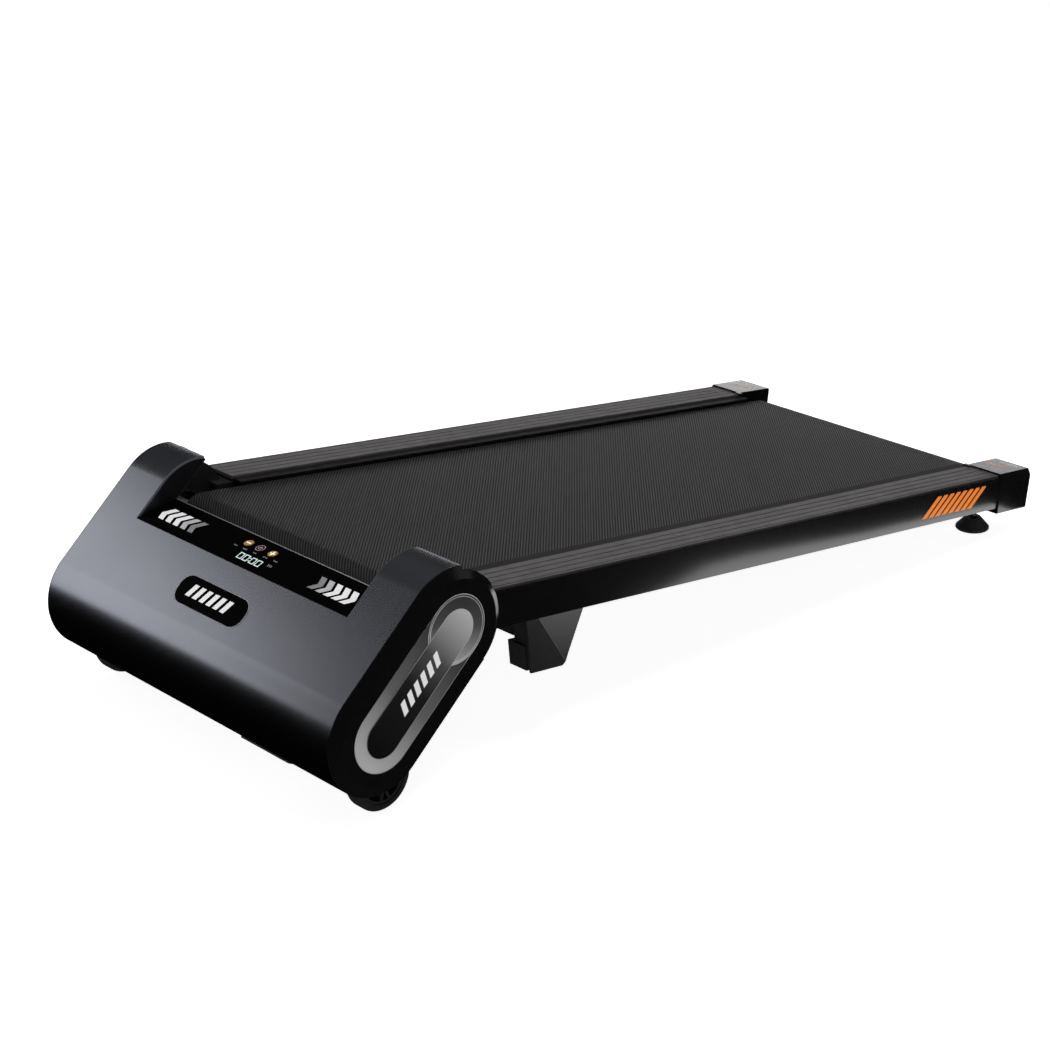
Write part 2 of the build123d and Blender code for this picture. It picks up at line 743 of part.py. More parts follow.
with BuildPart() as rear_cap_right:
    with BuildSketch(deck_section(cap_front)):
        with Locations(((cap_inner + cap_outer) / 2, (cap_bottom + cap_top) / 2)):
            RectangleRounded(cap_outer - cap_inner, cap_top - cap_bottom, 2.0)
    extrude(amount=cap_front - cap_rear)
    with BuildSketch(deck_section(cap_front)):
        with BuildLine():
            Polyline(
                (cap_outer - chamfer_in, cap_top), (cap_outer - chamfer_in, cap_top + 1),
                (cap_outer + 1, cap_top + 1), (cap_outer + 1, cap_top - chamfer_down),
                (cap_outer, cap_top - chamfer_down),
                close=True,
            )
        make_face()
    extrude(amount=cap_front - cap_rear, mode=Mode.SUBTRACT)
    rear_rim = rear_cap_right.faces().sort_by(Axis(deck.origin, deck.y_dir))[-1].edges()
    fillet(rear_rim, radius=3.5)
    with BuildSketch(deck_section(cap_front)):
        with Locations(((cap_inner + cap_outer) / 2, (cap_bottom + cap_top) / 2)):
            Rectangle(cap_outer - cap_inner - 2 * cap_wall, cap_top - cap_bottom - 2 * cap_wall)
        with BuildLine():
            Polyline(
                (cap_outer - chamfer_in - 1.5, cap_top), (cap_outer, cap_top),
                (cap_outer, cap_top - chamfer_down - 2.5),
                close=True,
            )
        make_face(mode=Mode.SUBTRACT)
    extrude(amount=cap_front - cap_rear + 3, mode=Mode.SUBTRACT)
    with BuildSketch(deck_section(cap_front)):
        with Locations((cap_inner, 0)):
            Rectangle(20, 17)
    extrude(amount=cap_front - rear_roller_y - 9, mode=Mode.SUBTRACT)
    with BuildSketch(deck_section(cap_rear + 1)):
        with Locations((232, 0)):
            Circle(5)
    extrude(amount=5, mode=Mode.SUBTRACT)
    with BuildSketch(deck_level(cap_bottom - 1)):
        with Locations((foot_x + 1, foot_y)):
            Circle(11.6)
    extrude(amount=14, mode=Mode.SUBTRACT)

with BuildPart() as rear_cap_left:
    mirror(rear_cap_right.part, about=Plane.YZ)

# ---- deck: board, belt, rollers ----
run_top = roller_radius + roller_gap
board_top = run_top - roller_gap
board_bottom = shelf_top + 2.5
board_half = 200.0
board_start = 32.0
board_end = 992.0

with BuildPart() as deck_board:
    with BuildSketch(deck_level(board_bottom)):
        with Locations((0, (board_start + board_end) / 2)):
            Rectangle(2 * roller_half, board_end - board_start)
        with Locations((0, (rail_start + board_end) / 2 + 4)):
            Rectangle(2 * board_half, board_end - rail_start - 8)
    extrude(amount=board_top - board_bottom)

cushion_count = 6
with BuildPart() as board_cushions:
    cushion_pitch = (board_end - rail_start - 120) / (cushion_count - 1)
    with BuildSketch(deck_level(shelf_top)):
        for cushion_x in (-(ledge_inner + 6), ledge_inner + 6):
            for index in range(cushion_count):
                with Locations((cushion_x, rail_start + 60 + index * cushion_pitch)):
                    RectangleRounded(9, 40, 3)
    extrude(amount=board_bottom - shelf_top)

member_ys = (130.0, 400.0, 670.0, 940.0)
member_half = 15.0
with BuildPart() as cross_members:
    for member_y in member_ys:
        with BuildSketch(deck_side(-rail_inner)):
            with Locations((member_y, -4)):
                Rectangle(2 * member_half, 16)
                Rectangle(2 * member_half - 4, 12, mode=Mode.SUBTRACT)
        extrude(amount=2 * rail_inner)

with BuildPart() as running_belt:
    with BuildSketch(deck_side(-belt_half)):
        with Locations((rear_roller_y / 2, 0)):
            SlotCenterToCenter(rear_roller_y, 2 * (run_top + belt_thick))
            SlotCenterToCenter(rear_roller_y, 2 * run_top, mode=Mode.SUBTRACT)
    extrude(amount=2 * belt_half)

pan_start = 200.0
pan_end = 985.0
pan_bottom = -31.5
with BuildPart() as belly_pan:
    with BuildSketch(deck_section(pan_start)):
        with Locations((0, pan_bottom + 0.75)):
            Rectangle(2 * 192, 1.5)
        for wall_x in (-191.25, 191.25):
            with Locations((wall_x, (pan_bottom + rail_bottom) / 2)):
                Rectangle(1.5, rail_bottom - pan_bottom)
        for flange_x in (-203, 203):
            with Locations((flange_x, rail_bottom - 0.75)):
                Rectangle(25, 1.5)
    extrude(amount=pan_start - pan_end)

with BuildPart() as front_roller:
    with BuildSketch(deck_side(-roller_half)):
        Circle(roller_radius)
        Circle(roller_radius - roller_wall, mode=Mode.SUBTRACT)
    extrude(amount=2 * roller_half)
    for plug_x in (-roller_half, roller_half - 14):
        with BuildSketch(deck_side(plug_x)):
            Circle(roller_radius - roller_wall + 0.5)
            Circle(shaft_radius, mode=Mode.SUBTRACT)
        extrude(amount=14)

shaft_half = drum_inner + 14.0
with BuildPart() as front_shaft:
    with BuildSketch(deck_side(-shaft_half)):
        Circle(shaft_radius)
    extrude(amount=2 * shaft_half)

with BuildPart() as roller_pulley:
    with BuildSketch(deck_side(pulley_start)):
        Circle(roller_pulley_radius)
        Circle(shaft_radius, mode=Mode.SUBTRACT)
    extrude(amount=pulley_width)

bearing_width = 14.0
rear_bearing_radius = roller_radius - roller_wall - fit
with BuildPart() as roller_bearings:
    with BuildSketch(deck_side(drum_inner)):
        Circle(20)
        Circle(shaft_radius + fit, mode=Mode.SUBTRACT)
    extrude(amount=bearing_width)
    with BuildSketch(deck_side(roller_half - bearing_width)):
        with Locations((rear_roller_y, 0)):
            Circle(rear_bearing_radius)
            Circle(8, mode=Mode.SUBTRACT)
    extrude(amount=bearing_width)
    mirror(about=Plane.YZ)

with BuildPart() as rear_roller:
    with BuildSketch(deck_side(-roller_half)):
        with Locations((rear_roller_y, 0)):
            Circle(roller_radius)
            Circle(roller_radius - roller_wall, mode=Mode.SUBTRACT)
    extrude(amount=2 * roller_half)

with BuildPart() as rear_axle:
    with BuildSketch(deck_side(-241)):
        with Locations((rear_roller_y, 0)):
            Circle(8)
    extrude(amount=482)
    with BuildSketch(deck_section(rear_roller_y - 12)):
        with Locations((-232, 0), (232, 0)):
            Circle(4)
    extrude(amount=-24, mode=Mode.SUBTRACT)

with BuildPart() as tension_bolts:
    with BuildSketch(deck_section(rear_roller_y - 10)):
        with Locations((-232, 0), (232, 0)):
            Circle(4)
    extrude(amount=rear_roller_y - 10 - rail_end - 3)
    with BuildSketch(deck_section(rail_end + 3)):
        with Locations((-232, 0), (232, 0)):
            Circle(6.5)
            RegularPolygon(3, 6, mode=Mode.SUBTRACT)
    extrude(amount=-6)

# ---- incline drive under the front of the deck ----
channel_half = 24.0
channel_wall = 3.0
channel_front = -56.0
channel_bottom = -70.0
channel_top = -42.0
plate_y = 140.0
plate_thick = 6.0
plate_bottom = -50.0
plate_top = -30.0
plate_half = 216.0
travel = 2 * screw_depth * tan(radians(slot_angle))
nut_y = travel / 2
nut_half = 12.0

with BuildPart() as incline_cradle:
    with BuildSketch(deck_section(channel_front)):
        with Locations((0, (channel_bottom + channel_top) / 2)):
            Rectangle(2 * channel_half, channel_top - channel_bottom)
        with Locations((0, (channel_bottom + channel_top) / 2 + channel_wall)):
            Rectangle(2 * (channel_half - channel_wall), channel_top - channel_bottom, mode=Mode.SUBTRACT)
    extrude(amount=channel_front - plate_y)
    for wall_y in (channel_front, 92):
        with BuildSketch(deck_section(wall_y)):
            with Locations((0, (channel_bottom + channel_top) / 2)):
                Rectangle(2 * channel_half, channel_top - channel_bottom)
            with Locations((0, -screw_depth)):
                Circle(screw_radius + fit, mode=Mode.SUBTRACT)
        extrude(amount=-5)
    with BuildSketch(deck_side(-channel_half)):
        with Locations((0, -screw_depth)):
            SlotCenterToCenter(travel + 4, 2 * (pin_radius + 0.4))
    extrude(amount=2 * channel_half, mode=Mode.SUBTRACT)
    with BuildSketch(deck_section(plate_y)):
        with Locations((0, (plate_bottom + plate_top) / 2)):
            Rectangle(2 * plate_half, plate_top - plate_bottom)
        for tab_x in (-204, 204):
            with Locations((tab_x, (plate_bottom + rail_bottom) / 2)):
                Rectangle(24, rail_bottom - plate_bottom)
    extrude(amount=-plate_thick)

with BuildPart() as incline_motor:
    with BuildSketch(deck_section(plate_y + plate_thick)):
        with Locations((0, -screw_depth)):
            Circle(18)
            Circle(screw_radius + fit, mode=Mode.SUBTRACT)
    extrude(amount=-46)
    with BuildSketch(deck_section(plate_y + plate_thick + 8)):
        with Locations((34, -screw_depth)):
            RectangleRounded(44, 32, 5)
    extrude(amount=-30)
    with BuildSketch(deck_side(-18)):
        with Locations((plate_y + plate_thick + 23, -screw_depth)):
            Circle(screw_radius + fit)
    extrude(amount=1, mode=Mode.SUBTRACT)

with BuildPart() as lead_screw:
    with BuildSketch(deck_section(channel_front + 0.5)):
        with Locations((0, -screw_depth)):
            Circle(screw_radius)
    extrude(amount=channel_front + 0.5 - plate_y - plate_thick - 40)
    with BuildSketch(deck_section(84)):
        with Locations((0, -screw_depth)):
            Circle(9)
    extrude(amount=-7)

with BuildPart() as lead_nut:
    with BuildSketch(deck_section(nut_y - nut_half)):
        with Locations((0, -screw_depth)):
            Rectangle(2 * (channel_half - channel_wall) - 1, 19)
            Circle(screw_radius + fit, mode=Mode.SUBTRACT)
    extrude(amount=-2 * nut_half)
    for pin_x in (-lever_inner - lever_thick - 2, channel_half - channel_wall - 1):
        with BuildSketch(deck_side(pin_x)):
            with Locations((nut_y, -screw_depth)):
                Circle(pin_radius)
        extrude(amount=lever_inner + lever_thick + 2 - channel_half + channel_wall + 1)

# ---- standing: support blocks and rear feet ----
block_bottom = -83.5
cover_outer = 252.0
cover_thick = 3.0
block_inner = 216.0
block_neck = 225.0
block_step = -53.0
neck_front = 125.0

with BuildPart() as block_covers:
    with BuildSketch(deck_side(cover_outer - cover_thick)):
        with BuildLine():
            Polyline(
                (121, rail_bottom), (213.5, rail_bottom), (191, block_bottom + 3),
                (187, block_bottom), (138, block_bottom),
                close=True,
            )
        make_face()
    extrude(amount=cover_thick)
    mirror(about=Plane.YZ)

with BuildPart() as support_blocks:
    with BuildSketch(deck_side(block_neck)):
        with BuildLine():
            Polyline(
                (neck_front, rail_bottom), (208, rail_bottom), (188, block_bottom + 1), (141, block_bottom + 1),
                close=True,
            )
        make_face()
    extrude(amount=cover_outer - cover_thick - block_neck)
    with BuildSketch(deck_side(block_inner)):
        with BuildLine():
            Polyline(
                (132, block_step), (200, block_step), (189, block_bottom), (139, block_bottom),
                close=True,
            )
        make_face()
    extrude(amount=cover_outer - cover_thick - block_inner - 6)
    mirror(about=Plane.YZ)

ball_rise = ball_height - pivot_z
ball_z = (ball_rise + foot_y * sin(radians(incline))) / cos(radians(incline))
feet = {}
for side_name, side in (("left", -1), ("right", 1)):
    ball_centre = deck.from_local_coords((side * foot_x, foot_y, ball_z))
    with BuildPart() as stud:
        with BuildSketch(deck_level(ball_z)):
            with Locations((side * foot_x, foot_y)):
                Circle(4)
        extrude(amount=rail_bottom + 1.5 - ball_z)
        with Locations(ball_centre):
            Sphere(ball_radius)
        with BuildSketch(deck_level(rail_bottom - 18)):
            with Locations((side * foot_x, foot_y)):
                RegularPolygon(7.5, 6)
        extrude(amount=5)
    feet["foot_stud_" + side_name] = stud
    with BuildPart() as pad:
        pad_origin = (ball_centre.X, ball_centre.Y, 0)
        with BuildSketch(Plane(origin=pad_origin, x_dir=(1, 0, 0), z_dir=(0, -1, 0))):
            with BuildLine():
                Polyline(
                    (0, 0), (pad_radius - 1, 0), (pad_radius, 1),
                    (pad_radius, 3.5), (11, pad_height), (0, pad_height),
                    close=True,
                )
            make_face()
        revolve(axis=Axis(pad_origin, (0, 0, 1)))
        with Locations(ball_centre):
            Sphere(ball_radius + 0.08, mode=Mode.SUBTRACT)
        with BuildSketch(Plane.XY.offset(ball_height)):
            with Locations((ball_centre.X, ball_centre.Y)):
                Circle(5.8)
        extrude(amount=20, mode=Mode.SUBTRACT)
    feet["foot_pad_" + side_name] = pad

# ---- files ----
pieces = {
    "hood_shell": hood_shell,
    "hood_rear_cover": hood_rear_cover,
    "hood_end_cap_left": hood_end_cap_left,
    "hood_end_cap_right": hood_end_cap_right,
    "end_trims": end_trims,
    "end_inserts": end_inserts,
    "hood_badge": hood_badge,
    "console_panel": console_panel,
    "console_tray": console_tray,
    "display_board": display_board,
    "swing_frame": swing_frame,
    "pivot_pins": pivot_pins,
    "wheel_axles": wheel_axles,
    "drive_motor": drive_motor,
    "motor_shaft": motor_shaft,
    "motor_pulley": motor_pulley,
    "drive_belt": drive_belt,
    "belt_guard": belt_guard,
    "motor_controller": motor_controller,
    "power_inlet": power_inlet,
    "power_rocker": power_rocker,
    "breaker_button": breaker_button,
    "hood_screws": hood_screws,
    "side_rail_left": side_rail_left,
    "side_rail_right": side_rail_right,
    "foot_strips": foot_strips,
    "pivot_knuckles": pivot_knuckles,
    "pivot_bushes": pivot_bushes,
    "rear_cap_left": rear_cap_left,
    "rear_cap_right": rear_cap_right,
    "deck_board": deck_board,
    "board_cushions": board_cushions,
    "cross_members": cross_members,
    "running_belt": running_belt,
    "belly_pan": belly_pan,
    "front_roller": front_roller,
    "front_shaft": front_shaft,
    "roller_pulley": roller_pulley,
    "roller_bearings": roller_bearings,
    "rear_roller": rear_roller,
    "rear_axle": rear_axle,
    "tension_bolts": tension_bolts,
    "incline_cradle": incline_cradle,
    "incline_motor": incline_motor,
    "lead_screw": lead_screw,
    "lead_nut": lead_nut,
    "block_covers": block_covers,
    "support_blocks": support_blocks,
}
pieces.update(keys)
pieces.update({"wheel_" + name: piece for name, piece in wheels.items()})
pieces.update(feet)

os.makedirs("parts", exist_ok=True)
for piece_name, piece in pieces.items():
    piece.part.label = piece_name
    export_step(piece.part, f"parts/{piece_name}.step")

print("pieces", len(pieces), "pivot", round(pivot_y, 3), round(pivot_z, 3), "ball", round(ball_z, 3))
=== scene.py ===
import json
import math

import bmesh
import bpy
from mathutils import Matrix, Vector


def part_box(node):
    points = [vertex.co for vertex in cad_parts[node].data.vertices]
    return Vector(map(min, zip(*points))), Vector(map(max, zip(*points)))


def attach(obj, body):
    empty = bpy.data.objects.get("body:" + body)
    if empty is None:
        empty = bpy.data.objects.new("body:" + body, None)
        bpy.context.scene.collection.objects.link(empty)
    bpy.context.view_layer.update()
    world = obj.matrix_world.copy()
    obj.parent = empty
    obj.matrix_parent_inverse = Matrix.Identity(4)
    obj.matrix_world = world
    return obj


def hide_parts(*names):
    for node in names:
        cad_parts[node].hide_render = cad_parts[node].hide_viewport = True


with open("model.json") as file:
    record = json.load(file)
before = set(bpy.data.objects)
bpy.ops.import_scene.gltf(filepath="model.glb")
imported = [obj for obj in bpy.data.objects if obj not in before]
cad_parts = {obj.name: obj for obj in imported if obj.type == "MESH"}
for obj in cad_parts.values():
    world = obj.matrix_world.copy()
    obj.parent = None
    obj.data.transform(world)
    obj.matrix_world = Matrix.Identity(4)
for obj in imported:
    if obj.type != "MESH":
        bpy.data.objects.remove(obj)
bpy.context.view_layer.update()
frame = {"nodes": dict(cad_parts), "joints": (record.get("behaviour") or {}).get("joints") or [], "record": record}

# ---------------------------------------------------------------- frames
# Details are drawn in millimetres in one of three frames of the object:
#   deck:    x right, y rearwards along the belt, z square to it, from the hood's pivot
#   hood:    x right, y out of the flat front face, z down the capsule, from the same pivot
#   console: x right, y rearwards up the console from its front edge, z out of it
MM = 0.001
JOINTS = {joint["name"]: joint for joint in frame["joints"]}
PIVOT = Vector(JOINTS["incline_swing"]["pos_m"])
REAR_AXIS = Vector(JOINTS["rear_roller_spin"]["pos_m"])
ACROSS = Vector((1, 0, 0))
HOOD_ANGLE = math.radians(228.6)      # the capsule's axis, from the rearward direction in the deck frame
HOOD_LENGTH = 138.1                   # between the capsule's two centres
FLAT_FACE = 69.6                      # the hood's flat front face, out from the pivot
CONSOLE_FRONT = (FLAT_FACE, 54.1)     # hood frame: out, down
CONSOLE_REAR = (37.4, 4.45)
SIDES = ((-1, "left"), (1, "right"))  # sign of x and name of each side


def axes_matrix(origin, x_axis, y_axis, z_axis):
    rotation = Matrix((x_axis, y_axis, z_axis)).transposed().to_4x4()
    return Matrix.Translation(origin) @ rotation @ Matrix.Scale(MM, 4)


ALONG = (REAR_AXIS - PIVOT).normalized()
UP = ACROSS.cross(ALONG)
DOWN = ALONG * math.cos(HOOD_ANGLE) + UP * math.sin(HOOD_ANGLE)
OUT = DOWN.cross(ACROSS)
DECK = axes_matrix(PIVOT, ACROSS, ALONG, UP)
HOOD = axes_matrix(PIVOT, ACROSS, OUT, DOWN)
console_start = HOOD @ Vector((0, *CONSOLE_FRONT))
console_stop = HOOD @ Vector((0, *CONSOLE_REAR))
CONSOLE_ALONG = (console_stop - console_start).normalized()
CONSOLE_LENGTH = (console_stop - console_start).length / MM
CONSOLE = axes_matrix(console_start, ACROSS, CONSOLE_ALONG, ACROSS.cross(CONSOLE_ALONG))


# ---------------------------------------------------------------- materials
MIX_SHARE, MIX_FIRST, MIX_SECOND, MIX_RESULT = 0, 4, 5, 1     # sockets of a mix node for vectors
NEARLY_PARALLEL = (0.80, 0.88)        # cosines between which the exact capsule shading fades in


class Look:
    """Small helper around one Principled material's node tree."""

    def __init__(self, name, color, roughness, metallic=0.0, coat=0.0, specular=0.5):
        self.material = bpy.data.materials.new(name)
        self.material.use_nodes = True
        self.tree = self.material.node_tree
        self.shader = self.tree.nodes["Principled BSDF"]
        self.color = (*color, 1.0)
        self.shader.inputs["Base Color"].default_value = self.color
        self.shader.inputs["Roughness"].default_value = roughness
        self.shader.inputs["Metallic"].default_value = metallic
        self.shader.inputs["Coat Weight"].default_value = coat
        self.shader.inputs["Coat Roughness"].default_value = 0.06
        self.shader.inputs["Specular IOR Level"].default_value = specular
        self.roughness = roughness
        self.normal = None

    def node(self, kind, **values):
        made = self.tree.nodes.new(kind)
        for key, value in values.items():
            setattr(made, key, value)
        return made

    def link(self, source, target):
        self.tree.links.new(source, target)

    def object_coordinates(self, scale=(1, 1, 1)):
        coordinates = self.node("ShaderNodeTexCoord")
        mapping = self.node("ShaderNodeMapping")
        mapping.inputs["Scale"].default_value = scale
        self.link(coordinates.outputs["Object"], mapping.inputs["Vector"])
        return mapping.outputs["Vector"]

    def noise(self, scale, detail, stretch=(1, 1, 1)):
        texture = self.node("ShaderNodeTexNoise")
        texture.inputs["Scale"].default_value = scale
        texture.inputs["Detail"].default_value = detail
        self.link(self.object_coordinates(stretch), texture.inputs["Vector"])
        return texture.outputs["Fac"]

    def along(self, direction):
        """Distance in millimetres from the pivot along a direction, in the object's own space."""
        product = self.node("ShaderNodeVectorMath", operation="DOT_PRODUCT")
        self.link(self.object_coordinates(), product.inputs[0])
        product.inputs[1].default_value = tuple(direction / MM)
        return self.math("SUBTRACT", product.outputs["Value"], PIVOT.dot(direction) / MM)

    def fade(self, direction, near, far, stops):
        """Colours the surface by its distance along a direction."""
        place = self.remap(self.along(direction), 0.0, 1.0, (near, far))
        self.link(self.ramp(place, stops), self.shader.inputs["Base Color"])

    def ramp(self, value, stops):
        ramp = self.node("ShaderNodeValToRGB")
        elements = ramp.color_ramp.elements
        while len(elements) < len(stops):
            elements.new(0.5)
        for element, (position, color) in zip(elements, stops):
            element.position = position
            element.color = (*color, 1.0)
        self.link(value, ramp.inputs["Fac"])
        return ramp.outputs["Color"]

    def remap(self, value, low, high, source=(0.3, 0.7)):
        mapped = self.node("ShaderNodeMapRange")
        mapped.inputs["From Min"].default_value = source[0]
        mapped.inputs["From Max"].default_value = source[1]
        mapped.inputs["To Min"].default_value = low
        mapped.inputs["To Max"].default_value = high
        self.link(value, mapped.inputs["Value"])
        return mapped.outputs["Result"]

    def math(self, operation, *values):
        made = self.node("ShaderNodeMath", operation=operation)
        for index, value in enumerate(values):
            if isinstance(value, (int, float)):
                made.inputs[index].default_value = value
            else:
                self.link(value, made.inputs[index])
        return made.outputs["Value"]

    def vary_roughness(self, scale, spread, stretch=(1, 1, 1)):
        varied = self.remap(self.noise(scale, 4.0, stretch), self.roughness - spread, self.roughness + spread)
        self.link(varied, self.shader.inputs["Roughness"])

    def vary_color(self, scale, amount, stretch=(1, 1, 1)):
        dark = [channel * (1 - amount) for channel in self.color[:3]]
        light = [min(1.0, channel * (1 + amount)) for channel in self.color[:3]]
        varied = self.ramp(self.noise(scale, 4.0, stretch), [(0.3, dark), (0.7, light)])
        self.link(varied, self.shader.inputs["Base Color"])

    def bump(self, height, strength, distance):
        made = self.node("ShaderNodeBump")
        made.inputs["Strength"].default_value = strength
        made.inputs["Distance"].default_value = distance
        self.link(height, made.inputs["Height"])
        if self.normal is not None:
            self.link(self.normal, made.inputs["Normal"])
        self.normal = made.outputs["Normal"]
        self.link(self.normal, self.shader.inputs["Normal"])

    def grain(self, scale, strength, distance=0.0002, stretch=(1, 1, 1)):
        self.bump(self.noise(scale, 5.0, stretch), strength, distance)

    def soft_edges(self, radius):
        """Rounds the shading of a CAD node's sharp edges."""
        rounded = self.node("ShaderNodeBevel", samples=4)
        rounded.inputs["Radius"].default_value = radius
        self.normal = rounded.outputs["Normal"]
        self.link(self.normal, self.shader.inputs["Normal"])

    def vector(self, operation, *values):
        made = self.node("ShaderNodeVectorMath", operation=operation)
        for socket, value in zip(made.inputs, values):
            if isinstance(value, Vector):
                socket.default_value = value
            else:
                self.link(value, socket)
        return made.outputs["Value" if operation == "DOT_PRODUCT" else "Vector"]

    def scaled(self, axis, factor):
        made = self.node("ShaderNodeVectorMath", operation="SCALE")
        made.inputs[0].default_value = axis
        self.link(factor, made.inputs["Scale"])
        return made.outputs["Vector"]

    def capsule_shading(self):
        """Shades the hood's outside as two true half rounds joined by true flats."""
        down = self.along(DOWN)
        between = self.math("MINIMUM", self.math("MAXIMUM", down, 0.0), HOOD_LENGTH)
        beyond = self.math("SUBTRACT", down, between)
        local = self.vector("ADD", self.scaled(OUT, self.along(OUT)), self.scaled(DOWN, beyond))
        turned = self.node(
            "ShaderNodeVectorTransform", vector_type="VECTOR", convert_from="OBJECT", convert_to="WORLD"
        )
        self.link(local, turned.inputs["Vector"])
        exact = self.vector("NORMALIZE", turned.outputs["Vector"])
        surface = self.node("ShaderNodeNewGeometry").outputs["Normal"]
        share = self.remap(self.vector("DOT_PRODUCT", surface, exact), 0.0, 1.0, NEARLY_PARALLEL)
        mix = self.node("ShaderNodeMix", data_type="VECTOR")
        self.link(share, mix.inputs[MIX_SHARE])
        self.link(self.normal, mix.inputs[MIX_FIRST])
        self.link(exact, mix.inputs[MIX_SECOND])
        self.normal = mix.outputs[MIX_RESULT]
        self.link(self.normal, self.shader.inputs["Normal"])


def gloss_plastic(name, color, roughness=0.12, edge=0.0006, specular=0.5):
    look = Look(name, color, roughness, specular=specular)
    look.soft_edges(edge)
    look.vary_roughness(55.0, 0.03)
    look.grain(900.0, 0.02, 0.00005)
    return look.material


def moulded_plastic(name, color, roughness=0.45, grain=0.25, edge=0.0006, specular=0.5):
    look = Look(name, color, roughness, specular=specular)
    look.soft_edges(edge)
    look.vary_color(35.0, 0.12)
    look.vary_roughness(120.0, 0.06)
    look.grain(2400.0, grain, 0.00012)
    return look.material


def coated_metal(name, color, roughness=0.38, edge=0.0006):
    look = Look(name, color, roughness, metallic=0.25, coat=0.15)
    look.soft_edges(edge)
    look.vary_color(28.0, 0.10)
    look.vary_roughness(80.0, 0.06)
    look.grain(1500.0, 0.12, 0.0001)
    return look.material


def bare_metal(name, color, roughness=0.28, stretch=(1, 40, 40), edge=0.0004):
    look = Look(name, color, roughness, metallic=1.0)
    look.soft_edges(edge)
    look.vary_color(60.0, 0.10, stretch)
    look.vary_roughness(60.0, 0.09, stretch)
    look.grain(220.0, 0.08, 0.00006, stretch)
    return look.material


def rubber(name, color, roughness=0.62, edge=0.0005):
    look = Look(name, color, roughness, specular=0.35)
    look.soft_edges(edge)
    look.vary_color(45.0, 0.18)
    look.vary_roughness(140.0, 0.08)
    look.grain(1800.0, 0.35, 0.00015)
    return look.material


def wood_board(name):
    look = Look(name, (0.02, 0.016, 0.013), 0.55)
    look.soft_edges(0.0008)
    bands = look.noise(14.0, 6.0, (1, 0.08, 30))
    tone = look.ramp(bands, [(0.3, (0.010, 0.009, 0.008)), (0.7, (0.030, 0.024, 0.019))])
    look.link(tone, look.shader.inputs["Base Color"])
    look.grain(300.0, 0.2, 0.0002, (1, 0.1, 20))
    return look.material


# Flat colour for prints and painted highlights; glow gives it emission, painted light wherever the print is no
# lamp.
def print_and_painted_light(name, color, glow=0.0, roughness=0.35, specular=0.5):
    look = Look(name, color, roughness, specular=specular)
    look.vary_roughness(300.0, 0.05)
    look.grain(2600.0, 0.06, 0.00004)
    if glow:
        look.shader.inputs["Emission Color"].default_value = (*color, 1.0)
        look.shader.inputs["Emission Strength"].default_value = glow
    return look.material


RIB_PITCH, CROSS_PITCH = 3.3, 1.1     # of the belt's diagonal ribs and the fine ribs across them
WEAVE_PITCH = 2.2
LEDGE_EDGE = (208.5, 211.5)           # from the middle: last matt and first glossy part of a rail


def belt_material():
    """Black running belt with diagonal ribs. UVs are millimetres across and along the loop."""
    look = Look("belt_rubber", (0.018, 0.018, 0.019), 0.55, specular=0.25)
    uv = look.node("ShaderNodeTexCoord").outputs["UV"]
    split = look.node("ShaderNodeSeparateXYZ")
    look.link(uv, split.inputs["Vector"])
    across = split.outputs["X"]
    along = split.outputs["Y"]
    diagonal = look.math("MULTIPLY", look.math("ADD", across, along), 1 / (math.sqrt(2) * RIB_PITCH))
    wave = look.math("ABSOLUTE", look.math("SINE", look.math("MULTIPLY", diagonal, math.pi)))
    other = look.math("MULTIPLY", look.math("SUBTRACT", across, along), 1 / (math.sqrt(2) * CROSS_PITCH))
    cross = look.math("ABSOLUTE", look.math("SINE", look.math("MULTIPLY", other, math.pi)))
    height = look.math("ADD", wave, look.math("MULTIPLY", cross, 0.12))
    tone = look.ramp(wave, [(0.55, (0.001, 0.001, 0.001)), (0.97, (0.050, 0.046, 0.048))])
    look.link(tone, look.shader.inputs["Base Color"])
    look.link(look.remap(wave, 0.75, 0.45, (0.0, 1.0)), look.shader.inputs["Roughness"])
    look.bump(height, 0.6, 0.0005)
    return look.material


def hood_material():
    look = Look("hood_paint_satin", (0.335, 0.35, 0.395), 0.26, metallic=1.0)
    look.soft_edges(0.0008)
    look.capsule_shading()
    look.vary_roughness(12.0, 0.012)
    return look.material


def rail_material():
    """Glossy black outside, matt on the inner ledges beside the belt."""
    look = Look("rail_black_gloss", (0.004, 0.004, 0.0044), 0.13, specular=0.28)
    look.soft_edges(0.0005)
    from_middle = look.math("ABSOLUTE", look.along(ACROSS))
    look.link(look.remap(from_middle, 0.6, 0.13, LEDGE_EDGE), look.shader.inputs["Roughness"])
    look.grain(900.0, 0.02, 0.00005)
    return look.material


def carbon_print():
    """Fine woven print on the support blocks' covers, lighter towards the rail."""
    look = Look("block_weave", (0.05, 0.05, 0.052), 0.45)
    rearward = look.along(ALONG)
    upward = look.along(UP)
    waves = 2 * math.pi / WEAVE_PITCH
    rising = look.math("SINE", look.math("MULTIPLY", look.math("ADD", rearward, upward), waves))
    falling = look.math("SINE", look.math("MULTIPLY", look.math("SUBTRACT", rearward, upward), waves))
    weave = look.math("MULTIPLY", rising, falling)
    shade = look.remap(upward, 0.25, 1.0, (-80.0, -20.0))
    tone = look.math("MULTIPLY", look.remap(weave, 0.45, 1.0, (-0.4, 0.4)), shade)
    color = look.ramp(tone, [(0.0, (0.004, 0.004, 0.004)), (1.0, (0.11, 0.106, 0.11))])
    look.link(color, look.shader.inputs["Base Color"])
    look.bump(weave, 0.4, 0.0002)
    return look.material


def faded(name, direction, near, far, stops, roughness):
    """A colour that changes along a direction, between two distances from the pivot: gradient prints on the inlays
    and rings, painted highlights on the edge lines.
    """
    look = Look(name, stops[0][1], roughness)
    look.fade(direction, near, far, stops)
    look.grain(6000.0, 0.015, 0.00002)
    return look.material


